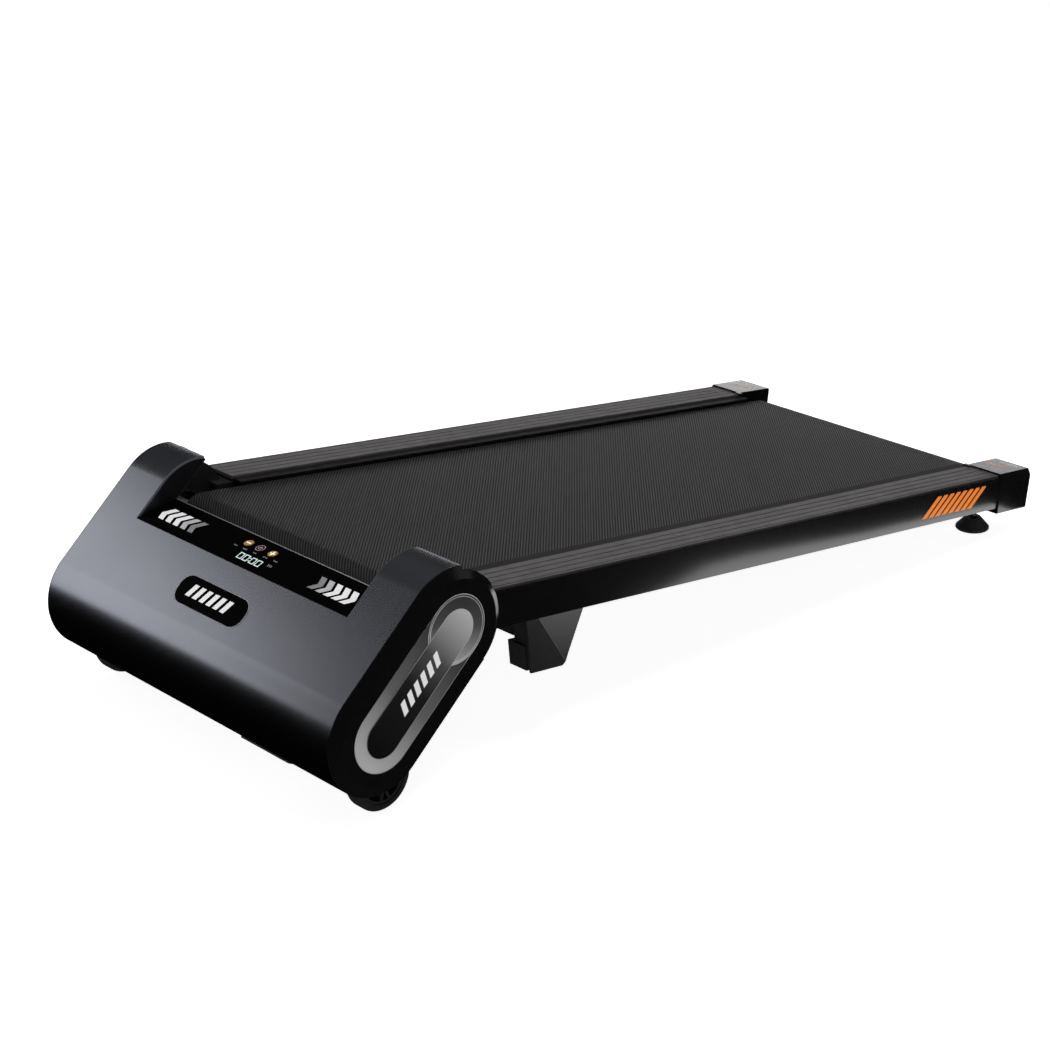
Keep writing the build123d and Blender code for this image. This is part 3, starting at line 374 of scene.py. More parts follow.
MATERIALS = {
    "hood_paint": hood_material(),
    "cap_black": gloss_plastic("cap_black_gloss", (0.004, 0.004, 0.0044), 0.16, 0.0008, 0.2),
    "trim_silver": coated_metal("trim_silver_satin", (0.30, 0.30, 0.31), 0.30),
    "panel_black": gloss_plastic("panel_black_glass", (0.001, 0.001, 0.001), 0.10, 0.0003, 0.06),
    "badge_black": gloss_plastic("badge_black_gloss", (0.001, 0.001, 0.001), 0.14, 0.0003, 0.01),
    "key_amber": gloss_plastic("key_amber_gloss", (0.58, 0.35, 0.10), 0.25, 0.0003),
    "key_red": gloss_plastic("key_red_gloss", (0.22, 0.03, 0.04), 0.25, 0.0003),
    "board_green": moulded_plastic("board_green_lacquer", (0.02, 0.12, 0.05), 0.3),
    "tray_black": moulded_plastic("tray_black_plastic", (0.018, 0.018, 0.019), 0.5),
    "frame_black": coated_metal("frame_black_powder", (0.022, 0.022, 0.023), 0.42),
    "pin_steel": bare_metal("pin_steel_zinc", (0.55, 0.55, 0.56), 0.30),
    "motor_grey": coated_metal("motor_grey_enamel", (0.07, 0.07, 0.075), 0.4),
    "heat_sink": bare_metal("heat_sink_aluminium", (0.62, 0.63, 0.65), 0.35, (40, 1, 1)),
    "roller_steel": bare_metal("roller_steel_tube", (0.50, 0.51, 0.52), 0.26),
    "bearing_steel": bare_metal("bearing_steel_ring", (0.66, 0.66, 0.67), 0.16),
    "rail_black": rail_material(),
    "strip_grey": moulded_plastic("strip_grey_ribbed", (0.128, 0.120, 0.124), 0.5, 0.3, 0.0003, 0.15),
    "block_black": moulded_plastic("block_black_plastic", (0.014, 0.014, 0.015), 0.42),
    "belt_black": rubber("belt_black_edge", (0.018, 0.018, 0.019)),
    "drive_rubber": rubber("drive_belt_rubber", (0.02, 0.02, 0.02)),
    "foot_rubber": rubber("foot_rubber_pad", (0.02, 0.02, 0.021)),
    "tyre_black": rubber("tyre_black_rubber", (0.014, 0.014, 0.015)),
    "board_wood": wood_board("board_wood_ply"),
    "bush_bronze": bare_metal("bush_bronze_metal", (0.60, 0.42, 0.20), 0.3),
    "switch_black": moulded_plastic("switch_black_plastic", (0.02, 0.02, 0.02), 0.4),
    "switch_red": gloss_plastic("switch_red_gloss", (0.45, 0.015, 0.012), 0.2),
}

# nodes that look different from the rest of their slot
hub_look = moulded_plastic("hub_black_plastic", (0.016, 0.016, 0.017), 0.35)
stud_look = bare_metal("stud_black_oxide", (0.03, 0.03, 0.032), 0.4)
OWN_LOOKS = {
    "wheel_hub_left": hub_look, "wheel_hub_right": hub_look,
    "foot_stud_left": stud_look, "foot_stud_right": stud_look,
}

for subpart in frame["record"]["subparts"]:
    node = frame["nodes"][subpart["node"]]
    node.data.materials.clear()
    node.data.materials.append(OWN_LOOKS.get(subpart["node"], MATERIALS[subpart["material_slot"]]))


# ---------------------------------------------------------------- mesh helpers
SMOOTH_BELOW = math.radians(40)       # sharper edges stay sharp
BEVEL_ABOVE = math.radians(35)
AXIS_ORDERS = {"yz": (1, 2, 0), "xy": (0, 1, 2), "xz": (0, 2, 1)}


def finish_mesh(name, mesh, matrix, material, body, bevel=0.0):
    """Turns a mesh in millimetres into a piece with one material that rides a body."""
    mesh.normal_update()
    data = bpy.data.meshes.new(name)
    mesh.to_mesh(data)
    mesh.free()
    data.transform(matrix)
    data.materials.append(material)
    piece = bpy.data.objects.new(name, data)
    bpy.context.scene.collection.objects.link(piece)
    if bevel:
        modifier = piece.modifiers.new("rounded_edges", "BEVEL")
        modifier.width = bevel * MM
        modifier.segments = 2
        modifier.limit_method = "ANGLE"
        modifier.angle_limit = BEVEL_ABOVE
    for polygon in data.polygons:
        polygon.use_smooth = True
    data.set_sharp_from_angle(angle=SMOOTH_BELOW)
    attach(piece, body)
    return piece


def placed(point, depth, axes):
    """A point of an outline in its frame: axes names its two coordinates, depth is the third."""
    first, second, third = AXIS_ORDERS[axes]
    made = [0.0, 0.0, 0.0]
    made[first], made[second] = point
    made[third] = depth
    return made


def bridge(mesh, first, second):
    """Closes the gap between two rings of the same number of corners."""
    count = len(first)
    for index in range(count):
        following = (index + 1) % count
        mesh.faces.new((first[index], first[following], second[following], second[index]))


def add_prism(mesh, outline, start, stop, axes):
    """Extrudes a closed outline from start to stop."""
    first = [mesh.verts.new(placed(point, start, axes)) for point in outline]
    second = [mesh.verts.new(placed(point, stop, axes)) for point in outline]
    mesh.faces.new(first)
    mesh.faces.new(second[::-1])
    bridge(mesh, first, second)
    bmesh.ops.recalc_face_normals(mesh, faces=mesh.faces)


def add_band(mesh, outer, inner, start, stop, axes):
    """Closed band between two outlines with the same number of points."""
    rings = []
    for outline, depth in ((outer, start), (outer, stop), (inner, stop), (inner, start)):
        rings.append([mesh.verts.new(placed(point, depth, axes)) for point in outline])
    for first, second in zip(rings, rings[1:] + rings[:1]):
        bridge(mesh, first, second)
    bmesh.ops.recalc_face_normals(mesh, faces=mesh.faces)


def rectangle(left, low, right, high):
    return [(left, low), (right, low), (right, high), (left, high)]


def arc(centre, radius, start, stop, steps):
    points = []
    for index in range(steps + 1):
        angle = math.radians(start + (stop - start) * index / steps)
        points.append((centre[0] + radius * math.cos(angle), centre[1] + radius * math.sin(angle)))
    return points


def rounded_rectangle(width, height, radius, steps, centre):
    points = []
    for sign_x, sign_y, start in ((1, 1, 0), (-1, 1, 90), (-1, -1, 180), (1, -1, 270)):
        corner = (centre[0] + sign_x * (width / 2 - radius), centre[1] + sign_y * (height / 2 - radius))
        points.extend(arc(corner, radius, start, start + 90, steps))
    return points


def circle(centre, radius, steps=48):
    return arc(centre, radius, 0, 360, steps)[:-1]


def decals(name, outlines, low, high, matrix, material, body, slot, axes="xy"):
    """Thin raised prints and painted highlights: one closed outline each."""
    mesh = bmesh.new()
    for outline in outlines:
        add_prism(mesh, outline, low, high, axes)
    return finish_mesh(name, mesh, matrix, material, body)


def band(name, outer, inner, low, high, matrix, material, body, slot, axes="xy"):
    """Thin raised line between two outlines."""
    mesh = bmesh.new()
    add_band(mesh, outer, inner, low, high, axes)
    return finish_mesh(name, mesh, matrix, material, body)


def racetrack(radius):
    """The capsule's outline in the hood frame: out, down."""
    return arc((0, 0), radius, 0, -180, 32) + arc((0, HOOD_LENGTH), radius, 180, 0, 32)


def slanted_bars(start, stop, low, high, count, lean, fill):
    """A generic row of slanted bars, as outlines along the first coordinate."""
    pitch = (stop - start) / count
    outlines = []
    for index in range(count):
        near = start + index * pitch
        far = near + pitch * fill
        outlines.append([(near, low), (far, low), (far + lean, high), (near + lean, high)])
    return outlines


# ---------------------------------------------------------------- running belt
BELT_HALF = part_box("running_belt")[1].x / MM
BELT_OUT = 26.5                       # radius of the belt's outside round the rollers
BELT_IN = 24.9
BELT_CORNER = 0.4                     # its outer corners are broken by this much
BELT_FLAT = 0.998                     # share of the half width up to those corners
BELT_LENGTH = (REAR_AXIS - PIVOT).length / MM
BELT_ROWS = 60
TURN_STEPS = 24


def belt_path():
    """Points round the loop, in deck y and z, with the outward direction at each."""
    path = []
    for start, reach, rise, far_end, turn in ((0.0, 1, 1.0, BELT_LENGTH, 90), (1.0, -1, -1.0, 0.0, 270)):
        for index in range(BELT_ROWS):
            path.append(((BELT_LENGTH * (start + reach * index / BELT_ROWS), 0.0), (0.0, rise)))
        for index in range(TURN_STEPS):
            angle = math.radians(turn - 180 * index / TURN_STEPS)
            path.append(((far_end, 0.0), (math.cos(angle), math.sin(angle))))
    return path


belt_mesh = bmesh.new()
belt_uv = belt_mesh.loops.layers.uv.new("UVMap")
sections = []
travelled = 0.0
previous = None
BELT_PROFILE = [
    (-1, BELT_IN), (-1, BELT_OUT - BELT_CORNER), (-BELT_FLAT, BELT_OUT),
    (BELT_FLAT, BELT_OUT), (1, BELT_OUT - BELT_CORNER), (1, BELT_IN),
]
for centre, outward in belt_path() + belt_path()[:1]:
    here = Vector((centre[0] + outward[0] * BELT_OUT, centre[1] + outward[1] * BELT_OUT))
    if previous is not None:
        travelled += (here - previous).length
    previous = here
    ring = []
    for side, radius in BELT_PROFILE:
        point = (side * BELT_HALF, centre[0] + outward[0] * radius, centre[1] + outward[1] * radius)
        ring.append((belt_mesh.verts.new(point), side * BELT_HALF, travelled))
    sections.append(ring)
for first, second in zip(sections, sections[1:]):
    for index in range(len(BELT_PROFILE)):
        following = (index + 1) % len(BELT_PROFILE)
        corners = (first[index], first[following], second[following], second[index])
        face = belt_mesh.faces.new([corner[0] for corner in corners])
        for loop, corner in zip(face.loops, corners):
            loop[belt_uv].uv = (corner[1], corner[2])
bmesh.ops.remove_doubles(belt_mesh, verts=belt_mesh.verts, dist=0.0001)
bmesh.ops.recalc_face_normals(belt_mesh, faces=belt_mesh.faces)
belt = finish_mesh("belt_surface", belt_mesh, DECK, belt_material(), "deck")
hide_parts("running_belt")


# ---------------------------------------------------------------- console prints and painted edge highlight
LAYER = 0.08                          # thickness of a print
CONSOLE_ON = ("hood", "panel_black")  # body and slot
# These prints glow faintly: painted light on the console arrows, marks and badge bars.
white_print = print_and_painted_light("print_white", (0.85, 0.85, 0.86), 0.35)
pale_print = print_and_painted_light("print_pale", (0.34, 0.34, 0.35), 0.04)
light_print = print_and_painted_light("print_light", (0.62, 0.62, 0.63), 0.12)

CHEVRON_LOW, CHEVRON_HIGH, CHEVRON_WIDTH = 16.5, 41.5, 9.2
CHEVRON_POINT = (CHEVRON_LOW + CHEVRON_HIGH) / 2 - 1.5
CHEVRON_PRINTS = (pale_print, light_print, white_print, white_print, white_print)
# sign of x, edge of the nearest stroke, pitch, reach of the point, lean of the front end
CHEVRON_ROWS = {"left": (-1, 106.5, 14.2, 7.0, 0.0), "right": (1, 101.0, 13.7, 9.0, 3.3)}


def chevron(hand, near, reach, lean):
    """One arrowhead stroke pointing to the side, on the console. Its front end is lean further out."""
    far = near + CHEVRON_WIDTH
    outline = [
        (near + lean, CHEVRON_LOW), (far + lean, CHEVRON_LOW), (far + reach, CHEVRON_POINT),
        (far, CHEVRON_HIGH), (near, CHEVRON_HIGH), (near + reach, CHEVRON_POINT),
    ]
    return [(hand * x, s) for x, s in outline]


for side, (hand, nearest, pitch, reach, lean) in CHEVRON_ROWS.items():
    for index, material in enumerate(CHEVRON_PRINTS):
        outline = chevron(hand, nearest + index * pitch, reach, lean)
        decals(f"console_arrow_{side}_{index + 1}", [outline], 0, LAYER, CONSOLE, material, *CONSOLE_ON)

DIGITS_LOW, DIGIT_HEIGHT, DIGIT_WIDTH = 11.6, 11.8, 8.4
DIGIT_STROKE, DIGIT_GAP = 1.55, 0.3
DIGIT_STARTS = (-17.2, -7.3, 4.9, 14.8)
DIGIT_LEAN = -0.28
COLON_X, COLON_RISES, DOT_RADIUS = 3.0, (3.4, 8.4), 1.1


def digit(start):
    """Outlines of a slanted seven-segment zero: its six lit bars, clockwise from the top."""
    half = DIGIT_HEIGHT / 2
    inner = DIGIT_WIDTH - DIGIT_STROKE
    bars = (
        (DIGIT_GAP, DIGIT_HEIGHT, DIGIT_WIDTH - DIGIT_GAP, DIGIT_HEIGHT - DIGIT_STROKE),
        (inner, half + DIGIT_GAP, DIGIT_WIDTH, DIGIT_HEIGHT - DIGIT_GAP),
        (inner, DIGIT_GAP, DIGIT_WIDTH, half - DIGIT_GAP),
        (DIGIT_GAP, 0, DIGIT_WIDTH - DIGIT_GAP, DIGIT_STROKE),
        (0, DIGIT_GAP, DIGIT_STROKE, half - DIGIT_GAP),
        (0, half + DIGIT_GAP, DIGIT_STROKE, DIGIT_HEIGHT - DIGIT_GAP),
    )
    return [[(start + x + DIGIT_LEAN * y, DIGITS_LOW + y) for x, y in rectangle(*bar)] for bar in bars]


digit_outlines = []
for start in DIGIT_STARTS:
    digit_outlines += digit(start)
for rise in COLON_RISES:
    digit_outlines.append(circle((COLON_X + DIGIT_LEAN * rise, DIGITS_LOW + rise), DOT_RADIUS, 16))
digit_glow = print_and_painted_light("display_digits", (0.72, 0.84, 0.82), 0.35)
decals("console_digits", digit_outlines, 0, LAYER, CONSOLE, digit_glow, *CONSOLE_ON)

# small generic marks beside the keys: left end, foot and width of each
MARKS = ((-42, 28.7, 6), (-26, 29.0, 8), (-8, 29.5, 6), (9.5, 30.2, 8), (27, 31.1, 8))
MARK_HEIGHT, MARK_LEAN, MARK_FILL = 1.8, -0.8, 2 / 3
label_outlines = []
for left, foot, width in MARKS:
    label_outlines += slanted_bars(left, left + width, foot, foot + MARK_HEIGHT, 3, MARK_LEAN, MARK_FILL)
label_outlines += slanted_bars(30.5, 38.5, 19.5, 23.5, count=3, lean=-2.0, fill=0.5)
decals("console_marks", label_outlines, 0, LAYER, CONSOLE, pale_print, *CONSOLE_ON)

KEY_CENTRES = {"minus": (-30.5, 41.5), "mode": (-9.2, 41.5), "plus": (13.0, 41.5)}
KEY_TOP = 0.2
KEY_SPAN = (KEY_TOP - 0.05, KEY_TOP + 0.05)
PRINT_SPAN = (KEY_TOP, KEY_TOP + LAYER)
KEY_FACE, KEY_RIM, KEY_RING = 6.0, 6.25, 5.3                  # radii
SIGN_REACH, SIGN_HALF = 4.0, 1.0
STEM_HALF, STEM_TOP = 0.4, 3.2
POWER_OUTER, POWER_INNER, POWER_OPEN = 2.8, 2.1, (120, 420)   # the ring is open at its top
# The key signs and the power key's ring glow: painted light.
sign_print = print_and_painted_light("key_sign", (0.95, 0.92, 0.84), 0.5)
rose_print = print_and_painted_light("key_ring", (0.62, 0.42, 0.44), 0.25)


def key_sign(key_name, x, s):
    """Outlines of a key's sign: a minus, a plus or a power mark."""
    if key_name == "mode":
        start, stop = POWER_OPEN
        ring = arc((x, s), POWER_OUTER, start, stop, 24) + arc((x, s), POWER_INNER, stop, start, 24)
        return [rectangle(x - STEM_HALF, s, x + STEM_HALF, s + STEM_TOP), ring]
    bars = [rectangle(x - SIGN_REACH, s - SIGN_HALF, x + SIGN_REACH, s + SIGN_HALF)]
    if key_name == "plus":
        bars.append(rectangle(x - SIGN_HALF, s - SIGN_REACH, x + SIGN_HALF, s + SIGN_REACH))
    return bars


for key_name, centre in KEY_CENTRES.items():
    rides = (f"{key_name}_button", "panel_black")
    rim, face = circle(centre, KEY_RIM), circle(centre, KEY_FACE)
    sign = sign_print
    if key_name == "mode":
        sign = rose_print
        decals("key_face_mode", [rim], *KEY_SPAN, CONSOLE, MATERIALS["panel_black"], *rides)
        band("key_ring_mode", face, circle(centre, KEY_RING), *PRINT_SPAN, CONSOLE, rose_print, *rides)
    else:
        band(f"key_rim_{key_name}", rim, face, *KEY_SPAN, CONSOLE, MATERIALS["panel_black"], *rides)
    decals(f"key_sign_{key_name}", key_sign(key_name, *centre), *PRINT_SPAN, CONSOLE, sign, *rides)

PANEL_HALF = 193.3
# painted highlight: a light strip along the console's rear edge, brighter towards the right
console_highlight_stops = [(0.0, (0.20, 0.20, 0.21)), (1.0, (0.50, 0.50, 0.51))]
console_highlight = faded("console_edge_painted_highlight", ACROSS, -200, 200, console_highlight_stops, 0.3)
console_edge = rectangle(-PANEL_HALF, CONSOLE_LENGTH - 1.1, PANEL_HALF, CONSOLE_LENGTH)
decals("console_rear_edge_highlight", [console_edge], -0.4, 0.35, CONSOLE, console_highlight, *CONSOLE_ON)

# ---------------------------------------------------------------- badge
BADGE_DOWN, BADGE_WIDTH, BADGE_HEIGHT, BADGE_RADIUS = 102.6, 120.0, 35.6, 15.5
BADGE_ON = ("hood", "badge_black", "xz")      # body, slot and axes of the outlines
badge_rim = print_and_painted_light("badge_rim", (0.42, 0.43, 0.46), 0.0, 0.3)


def badge_outline(grow):
    size = (BADGE_WIDTH + 2 * grow, BADGE_HEIGHT + 2 * grow)
    return rounded_rectangle(*size, BADGE_RADIUS + grow, 10, (0, BADGE_DOWN))


rim_span = (FLAT_FACE - 0.2, FLAT_FACE + 0.6)
print_span = (FLAT_FACE + 1.15, FLAT_FACE + 1.2 + LAYER)
band("badge_rim", badge_outline(0.8), badge_outline(-0.2), *rim_span, HOOD, badge_rim, *BADGE_ON)
badge_bars = slanted_bars(-36, 40, BADGE_DOWN - 9, BADGE_DOWN + 7, count=6, lean=-6.0, fill=0.6)
decals("badge_bars", badge_bars, *print_span, HOOD, white_print, *BADGE_ON)

# ---------------------------------------------------------------- ears' inner walls
NOTCH = 193.5                         # from the middle to an ear's inner wall
WALL_RADIUS = 66.6
EDGE_RADIUS = FLAT_FACE + 0.05
LIP_TURN = -53.2                      # degrees round the pivot, from the flat face to the rear lip
EAR_ON = ("hood", "hood_paint", "yz")
# a black sheet laid over each ear's inner wall, much darker than the hood paint
wall_black = moulded_plastic("ear_wall_black_sheet", (0.006, 0.006, 0.008), 0.4, 0.15)
edge_paint = print_and_painted_light("ear_edge_paint", (0.15, 0.155, 0.18), 0.0, 0.4)
inner_edge = [(WALL_RADIUS, 48.5)] + arc((0, 0), WALL_RADIUS, 0, LIP_TURN, 14)
outer_edge = [(EDGE_RADIUS, 53.0)] + arc((0, 0), EDGE_RADIUS, 0, LIP_TURN, 14)
wall_outline = inner_edge + [(37.5, -48), (37.5, 3.6)]
for hand, side in SIDES:
    span = (hand * (NOTCH - 0.25), hand * (NOTCH + 0.1))
    decals(f"ear_wall_{side}", [wall_outline], *span, HOOD, wall_black, *EAR_ON)
    decals(f"ear_edge_{side}", [outer_edge + inner_edge[::-1]], *span, HOOD, edge_paint, *EAR_ON)

# ---------------------------------------------------------------- end caps' inlays
TRIM_RADIUS = 40.4
DISC_RADIUS = 40.0
PILL_RADIUS = 23.6
SEAT = 268.4                          # floor of the end cap's recess
LAYERS = {"trim": (SEAT, SEAT + 0.9), "disc": (SEAT + 0.9, SEAT + 1.2), "pill": (SEAT + 1.2, SEAT + 1.45)}
DIAGONAL = (DOWN * 0.85 - OUT * 0.53).normalized()
TRIM_ON = ("hood", "trim_silver", "yz")
INSERT_ON = ("hood", "cap_black", "yz")
trim_look = faded("trim_fade", DOWN, -45, 180, [
    (0.0, (0.02, 0.02, 0.02)),
    (0.28, (0.045, 0.045, 0.045)),
    (0.62, (0.13, 0.128, 0.13)),
    (1.0, (0.50, 0.49, 0.50)),
], 0.32)
disc_look = faded("disc_fade", DIAGONAL, -40, 40, [
    (0.0, (0.03, 0.03, 0.03)),
    (0.45, (0.07, 0.07, 0.07)),
    (0.8, (0.26, 0.255, 0.26)),
    (1.0, (0.42, 0.41, 0.42)),
], 0.3)
pill_look = faded("pill_fade", DOWN, -24, 162, [
    (0.0, (0.50, 0.49, 0.50)),
    (0.16, (0.30, 0.295, 0.30)),
    (0.34, (0.07, 0.07, 0.07)),
    (0.55, (0.012, 0.012, 0.012)),
    (1.0, (0.004, 0.004, 0.004)),
], 0.28)
ring_look = faded("ring_fade", DOWN, -41, 45, [(0.0, (0.50, 0.50, 0.51)), (1.0, (0.75, 0.75, 0.76))], 0.25)
# painted highlights: the light lines round the trim's and the pill's outer edges, lighter towards the top
rim_highlight_look = faded("rim_highlight_fade", DOWN, 0, 140, [(0.0, (0.60, 0.60, 0.61)), (1.0, (0.25, 0.25, 0.26))], 0.25)
# The pill's bars glow faintly: painted light.
mark_print = print_and_painted_light("mark_print", (0.80, 0.79, 0.80), 0.12)
trim_outline, pill_outline = racetrack(TRIM_RADIUS), racetrack(PILL_RADIUS)
trim_inside, pill_inside = racetrack(TRIM_RADIUS - 0.5), racetrack(PILL_RADIUS - 0.4)
disc_outline = circle((0, 0), DISC_RADIUS, 96)
pill_bars = slanted_bars(38, 112, -8, 8, count=6, lean=-7.0, fill=0.6)
pill_bars = [[(out, down) for down, out in outline] for outline in pill_bars]


def levels(hand, name, extra=0.0):
    """Where a layer starts and stops on one side, its outside raised by extra."""
    low, high = LAYERS[name]
    return hand * low, hand * (high + extra)


for hand, side in SIDES:
    trim = decals(f"trim_{side}", [trim_outline], *levels(hand, "trim"), HOOD, trim_look, *TRIM_ON)
    disc = decals(f"disc_{side}", [disc_outline], *levels(hand, "disc"), HOOD, disc_look, *INSERT_ON)
    pill = decals(f"pill_{side}", [pill_outline], *levels(hand, "pill"), HOOD, pill_look, *INSERT_ON)
    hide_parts("end_trims")
    for piece in (disc, pill):
        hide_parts("end_inserts")
    for index, radius in enumerate((DISC_RADIUS, DISC_RADIUS - 2.4)):
        ring = (circle((0, 0), radius, 96), circle((0, 0), radius - 0.55, 96))
        span = levels(hand, "disc", 0.12)
        band(f"disc_ring_{side}_{index + 1}", *ring, *span, HOOD, ring_look, *INSERT_ON)
    # painted highlight lines on the trim's and the pill's outer edges
    span = levels(hand, "trim", 0.1)
    band(f"trim_rim_highlight_{side}", trim_outline, trim_inside, *span, HOOD, rim_highlight_look, *TRIM_ON)
    span = levels(hand, "pill", 0.08)
    band(f"pill_rim_highlight_{side}", pill_outline, pill_inside, *span, HOOD, rim_highlight_look, *INSERT_ON)
    span = (levels(hand, "pill")[1], levels(hand, "pill", LAYER)[1])
    decals(f"pill_bars_{side}", pill_bars, *span, HOOD, mark_print, *INSERT_ON)

# ---------------------------------------------------------------- side stripes
STRIPES = 8
STRIPE_START, STRIPE_PITCH = 828.5, 14.25     # lower end of the first stripe, along the deck
STRIPE_WIDTH = STRIPE_PITCH * 0.76
STRIPE_LEAN = 27.0                            # the upper end lies this much further back
STRIPE_LOW, STRIPE_HIGH = -3.0, 24.5
STRIPE_SPAN = (264.0, 264.15)                 # across, just proud of the rail
# The stripes glow a little: painted light.
orange = print_and_painted_light("stripe_orange", (0.72, 0.18, 0.01), 0.22, 0.5, 0.1)


def stripe(low):
    """One slanted stripe with broken corners, from its lower front corner."""
    high = low + STRIPE_LEAN
    return [
        (low, STRIPE_LOW), (low + STRIPE_WIDTH - 1, STRIPE_LOW), (low + STRIPE_WIDTH + 0.6, STRIPE_LOW + 1.2),
        (high + STRIPE_WIDTH, STRIPE_HIGH - 1.4), (high + STRIPE_WIDTH - 1.2, STRIPE_HIGH),
        (high + 2.6, STRIPE_HIGH), (high, STRIPE_HIGH - 2.4),
    ]


stripes = [stripe(STRIPE_START + STRIPE_PITCH * index) for index in range(STRIPES)]
for hand, side in SIDES:
    span = [hand * across for across in STRIPE_SPAN]
    decals(f"rail_stripes_{side}", stripes, *span, DECK, orange, "deck", "rail_black", "yz")

# ---------------------------------------------------------------- support block covers and rear cap labels
BLOCK_FACE = 251.9
BLOCK_ON = ("deck", "block_black", "yz")
WEAVE_OUTLINE = [(141.5, -18.5), (209.0, -18.5), (192.0, -78.5)]
# painted highlight: a light line along the cover's slanted front edge
WEAVE_HIGHLIGHT = [(140.4, -18.0), (141.4, -18.0), (192.9, -79.4), (191.9, -79.4)]
CAP_TOP = 35.5
LABEL_SPAN = (CAP_TOP - 0.05, CAP_TOP + LAYER)
TAB_ACROSS, TAB_ALONG = (203.5, 214.0), (995.5, 1001.5)
weave = carbon_print()
# colour of that painted highlight line
block_edge_highlight = print_and_painted_light("block_edge_highlight", (0.12, 0.12, 0.12), 0.0, 0.3)
# The cap labels glow faintly: painted light.
label_white = print_and_painted_light("label_white", (0.62, 0.60, 0.66), 0.1)
label_orange = print_and_painted_light("label_orange", (0.72, 0.33, 0.12), 0.12)
upper_rows = slanted_bars(218, 258, 1051.5, 1055.0, count=9, lean=0.8, fill=0.7)
upper_rows += slanted_bars(222, 256, 1057.0, 1059.5, count=7, lean=0.8, fill=0.75)
lower_rows = slanted_bars(216, 249, 1033.0, 1038.5, count=7, lean=1.0, fill=0.72)
CAP_LABELS = {"upper": (upper_rows, label_white), "lower": (lower_rows, label_orange)}
for hand, side in SIDES:
    span = (hand * BLOCK_FACE, hand * (BLOCK_FACE + 0.25))
    decals(f"block_weave_{side}", [WEAVE_OUTLINE], *span, DECK, weave, *BLOCK_ON)
    # the painted highlight line on the cover's front edge
    span = (hand * BLOCK_FACE, hand * (BLOCK_FACE + 0.35))
    decals(f"block_edge_highlight_{side}", [WEAVE_HIGHLIGHT], *span, DECK, block_edge_highlight, *BLOCK_ON)
    for level, (rows, look) in CAP_LABELS.items():
        mirrored = [[(hand * x, y) for x, y in outline] for outline in rows]
        decals(f"cap_label_{level}_{side}", mirrored, *LABEL_SPAN, DECK, look, "deck", "cap_black")
    tab = bmesh.new()
    tab_outline = rectangle(hand * TAB_ACROSS[0], TAB_ALONG[0], hand * TAB_ACROSS[1], TAB_ALONG[1])
    add_prism(tab, tab_outline, CAP_TOP - 2.0, CAP_TOP, "xy")
    finish_mesh(f"cap_tab_{side}", tab, DECK, MATERIALS["cap_black"], "deck", 0.5)

# ---------------------------------------------------------------- stage
bpy.context.scene.view_settings.view_transform = "Standard"


def stage_sheet(name, faces, strength, camera=False, glossy=False, diffuse=False):
    """Pale glowing sheets of the studio, each seen only by the rays named."""
    look = Look(f"{name}_pale", (0.80, 0.80, 0.80), 0.85)
    look.vary_roughness(3.0, 0.03)
    look.shader.inputs["Emission Color"].default_value = (1, 1, 1, 1)
    look.shader.inputs["Emission Strength"].default_value = strength
    mesh = bmesh.new()
    for corners in faces:
        mesh.faces.new([mesh.verts.new(corner) for corner in corners])
    mesh.normal_update()
    data = bpy.data.meshes.new(name)
    mesh.to_mesh(data)
    mesh.free()
    data.materials.append(look.material)
    sheet = bpy.data.objects.new(name, data)
    sheet.visible_camera = camera
    sheet.visible_glossy = glossy
    sheet.visible_diffuse = diffuse
    sheet.visible_shadow = diffuse
    bpy.context.scene.collection.objects.link(sheet)


REACH = 30.0                          # metres from the middle to the studio's walls
FLOOR_GLOW, BACKDROP_GLOW, SHEEN_GLOW = 0.92, 1.0, 4.0
# metres right and rearwards: the sheet that the rail's side mirrors
SHEEN_EDGE = (
    (0.27, 0.0), (0.45, 0.0), (0.48, 0.20), (0.465, 0.27),
    (0.405, 0.44), (0.368, 0.585), (0.345, 0.655), (0.27, 0.655),
)
SHEEN_LIFT = 0.002                    # above the floor
corners = [(-REACH, -REACH), (REACH, -REACH), (REACH, REACH), (-REACH, REACH)]
ground, ceiling = ([(*corner, height) for corner in corners] for height in (0.0, REACH))
walls = [(ground[i], ground[(i + 1) % 4], ceiling[(i + 1) % 4], ceiling[i]) for i in range(4)]
stage_sheet("floor", [ground], FLOOR_GLOW, camera=True, diffuse=True)
stage_sheet("backdrop", [*walls, ceiling], BACKDROP_GLOW, camera=True)
for hand, side in SIDES:
    sheet = [(hand * x, y, SHEEN_LIFT) for x, y in SHEEN_EDGE]
    stage_sheet(f"side_sheen_{side}", [sheet], SHEEN_GLOW, glossy=True)

world = bpy.data.worlds.new("studio")
bpy.context.scene.world = world
world.use_nodes = True
sky = world.node_tree
background = sky.nodes["Background"]
direction = sky.nodes.new("ShaderNodeTexCoord")
height = sky.nodes.new("ShaderNodeSeparateXYZ")
dome = sky.nodes.new("ShaderNodeValToRGB")
dome.color_ramp.elements[0].position = 0.48
dome.color_ramp.elements[0].color = (0.004, 0.004, 0.004, 1)
dome.color_ramp.elements[1].position = 1.0
dome.color_ramp.elements[1].color = (0.5, 0.5, 0.5, 1)
lift = sky.nodes.new("ShaderNodeMapRange")
lift.inputs["From Min"].default_value = -1.0
sky.links.new(direction.outputs["Generated"], height.inputs["Vector"])
sky.links.new(height.outputs["Z"], lift.inputs["Value"])
sky.links.new(lift.outputs["Result"], dome.inputs["Fac"])
sky.links.new(dome.outputs["Color"], background.inputs["Color"])
background.inputs["Strength"].default_value = 0.15


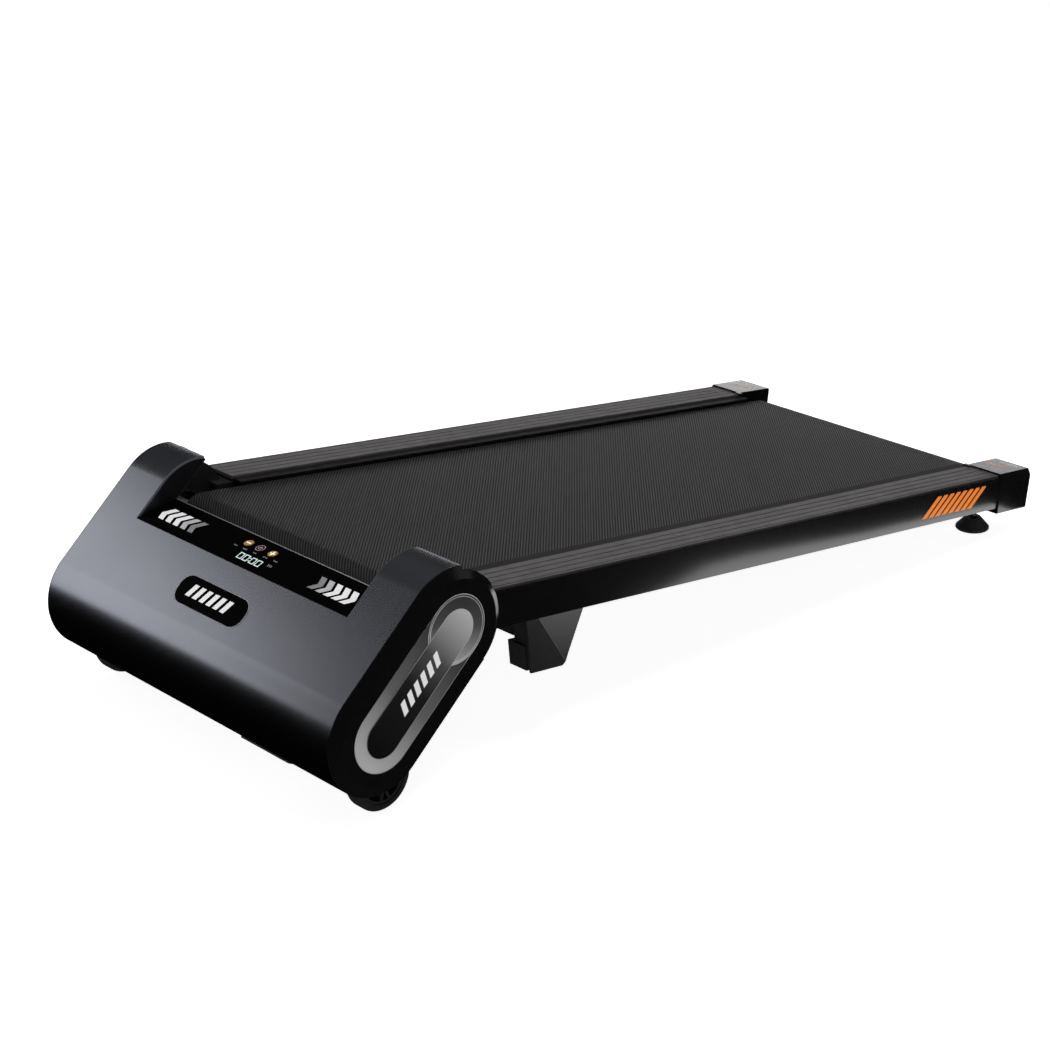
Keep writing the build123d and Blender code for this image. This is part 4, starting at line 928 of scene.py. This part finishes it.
def softbox(name, target, direction, distance, size, radiance, roll=0.0):
    """Area light looking at target from a direction, turned by roll degrees about that direction."""
    away = Vector(direction).normalized()
    light = bpy.data.lights.new(name, "AREA")
    light.shape = "RECTANGLE"
    light.size, light.size_y = size
    light.energy = radiance * math.pi * size[0] * size[1]
    lamp = bpy.data.objects.new(name, light)
    lamp.location = Vector(target) + away * distance
    aim = (-away).to_track_quat("-Z", "Y").to_matrix()
    lamp.rotation_euler = (aim @ Matrix.Rotation(math.radians(roll), 3, "Z")).to_euler()
    bpy.context.scene.collection.objects.link(lamp)
    return lamp


deck_middle = Vector((0, 0, 0.15))
hood_middle = HOOD @ Vector((0, FLAT_FACE, 69.0))
softbox("key_left", hood_middle, (-0.896, -0.372, 0.245), 2.4, (1.5, 1.66), 1.05, roll=-56.5)
softbox("top", deck_middle, (0.12, 0.05, 1.0), 3.0, (1.8, 1.8), 5.0)
softbox("back_left", deck_middle, (-0.67, 0.71, 0.06), 3.2, (3.0, 0.45), 2.0)
softbox("front_right", deck_middle, (0.75, -0.95, 0.55), 3.2, (1.4, 1.0), 0.8)
softbox("back_right", deck_middle, (0.8, 0.75, 0.4), 3.2, (1.6, 0.9), 0.6)

# ---------------------------------------------------------------- camera
# its place in millimetres and its axes, all in the deck frame
CAMERA_PLACE = Vector((1922.738, -1588.283, 833.366))
CAMERA_RIGHT = Vector((0.6894143448, 0.7188283529, 0.0894072717))
CAMERA_DOWN = Vector((0.2736023387, -0.1441241416, -0.9509836971))
CAMERA_AHEAD = Vector((-0.6707082983, 0.6800838411, -0.2960343691))
deck_turn = Matrix((ACROSS, ALONG, UP)).transposed()
camera_data = bpy.data.cameras.new("camera")
camera_data.sensor_width = 36.0
camera_data.lens = 78.73
camera_data.clip_end = 100.0
camera = bpy.data.objects.new("camera", camera_data)
turn = Matrix((deck_turn @ CAMERA_RIGHT, deck_turn @ -CAMERA_DOWN, deck_turn @ -CAMERA_AHEAD)).transposed()
camera.matrix_world = Matrix.Translation(DECK @ CAMERA_PLACE) @ turn.to_4x4()
bpy.context.scene.collection.objects.link(camera)
bpy.context.scene.camera = camera
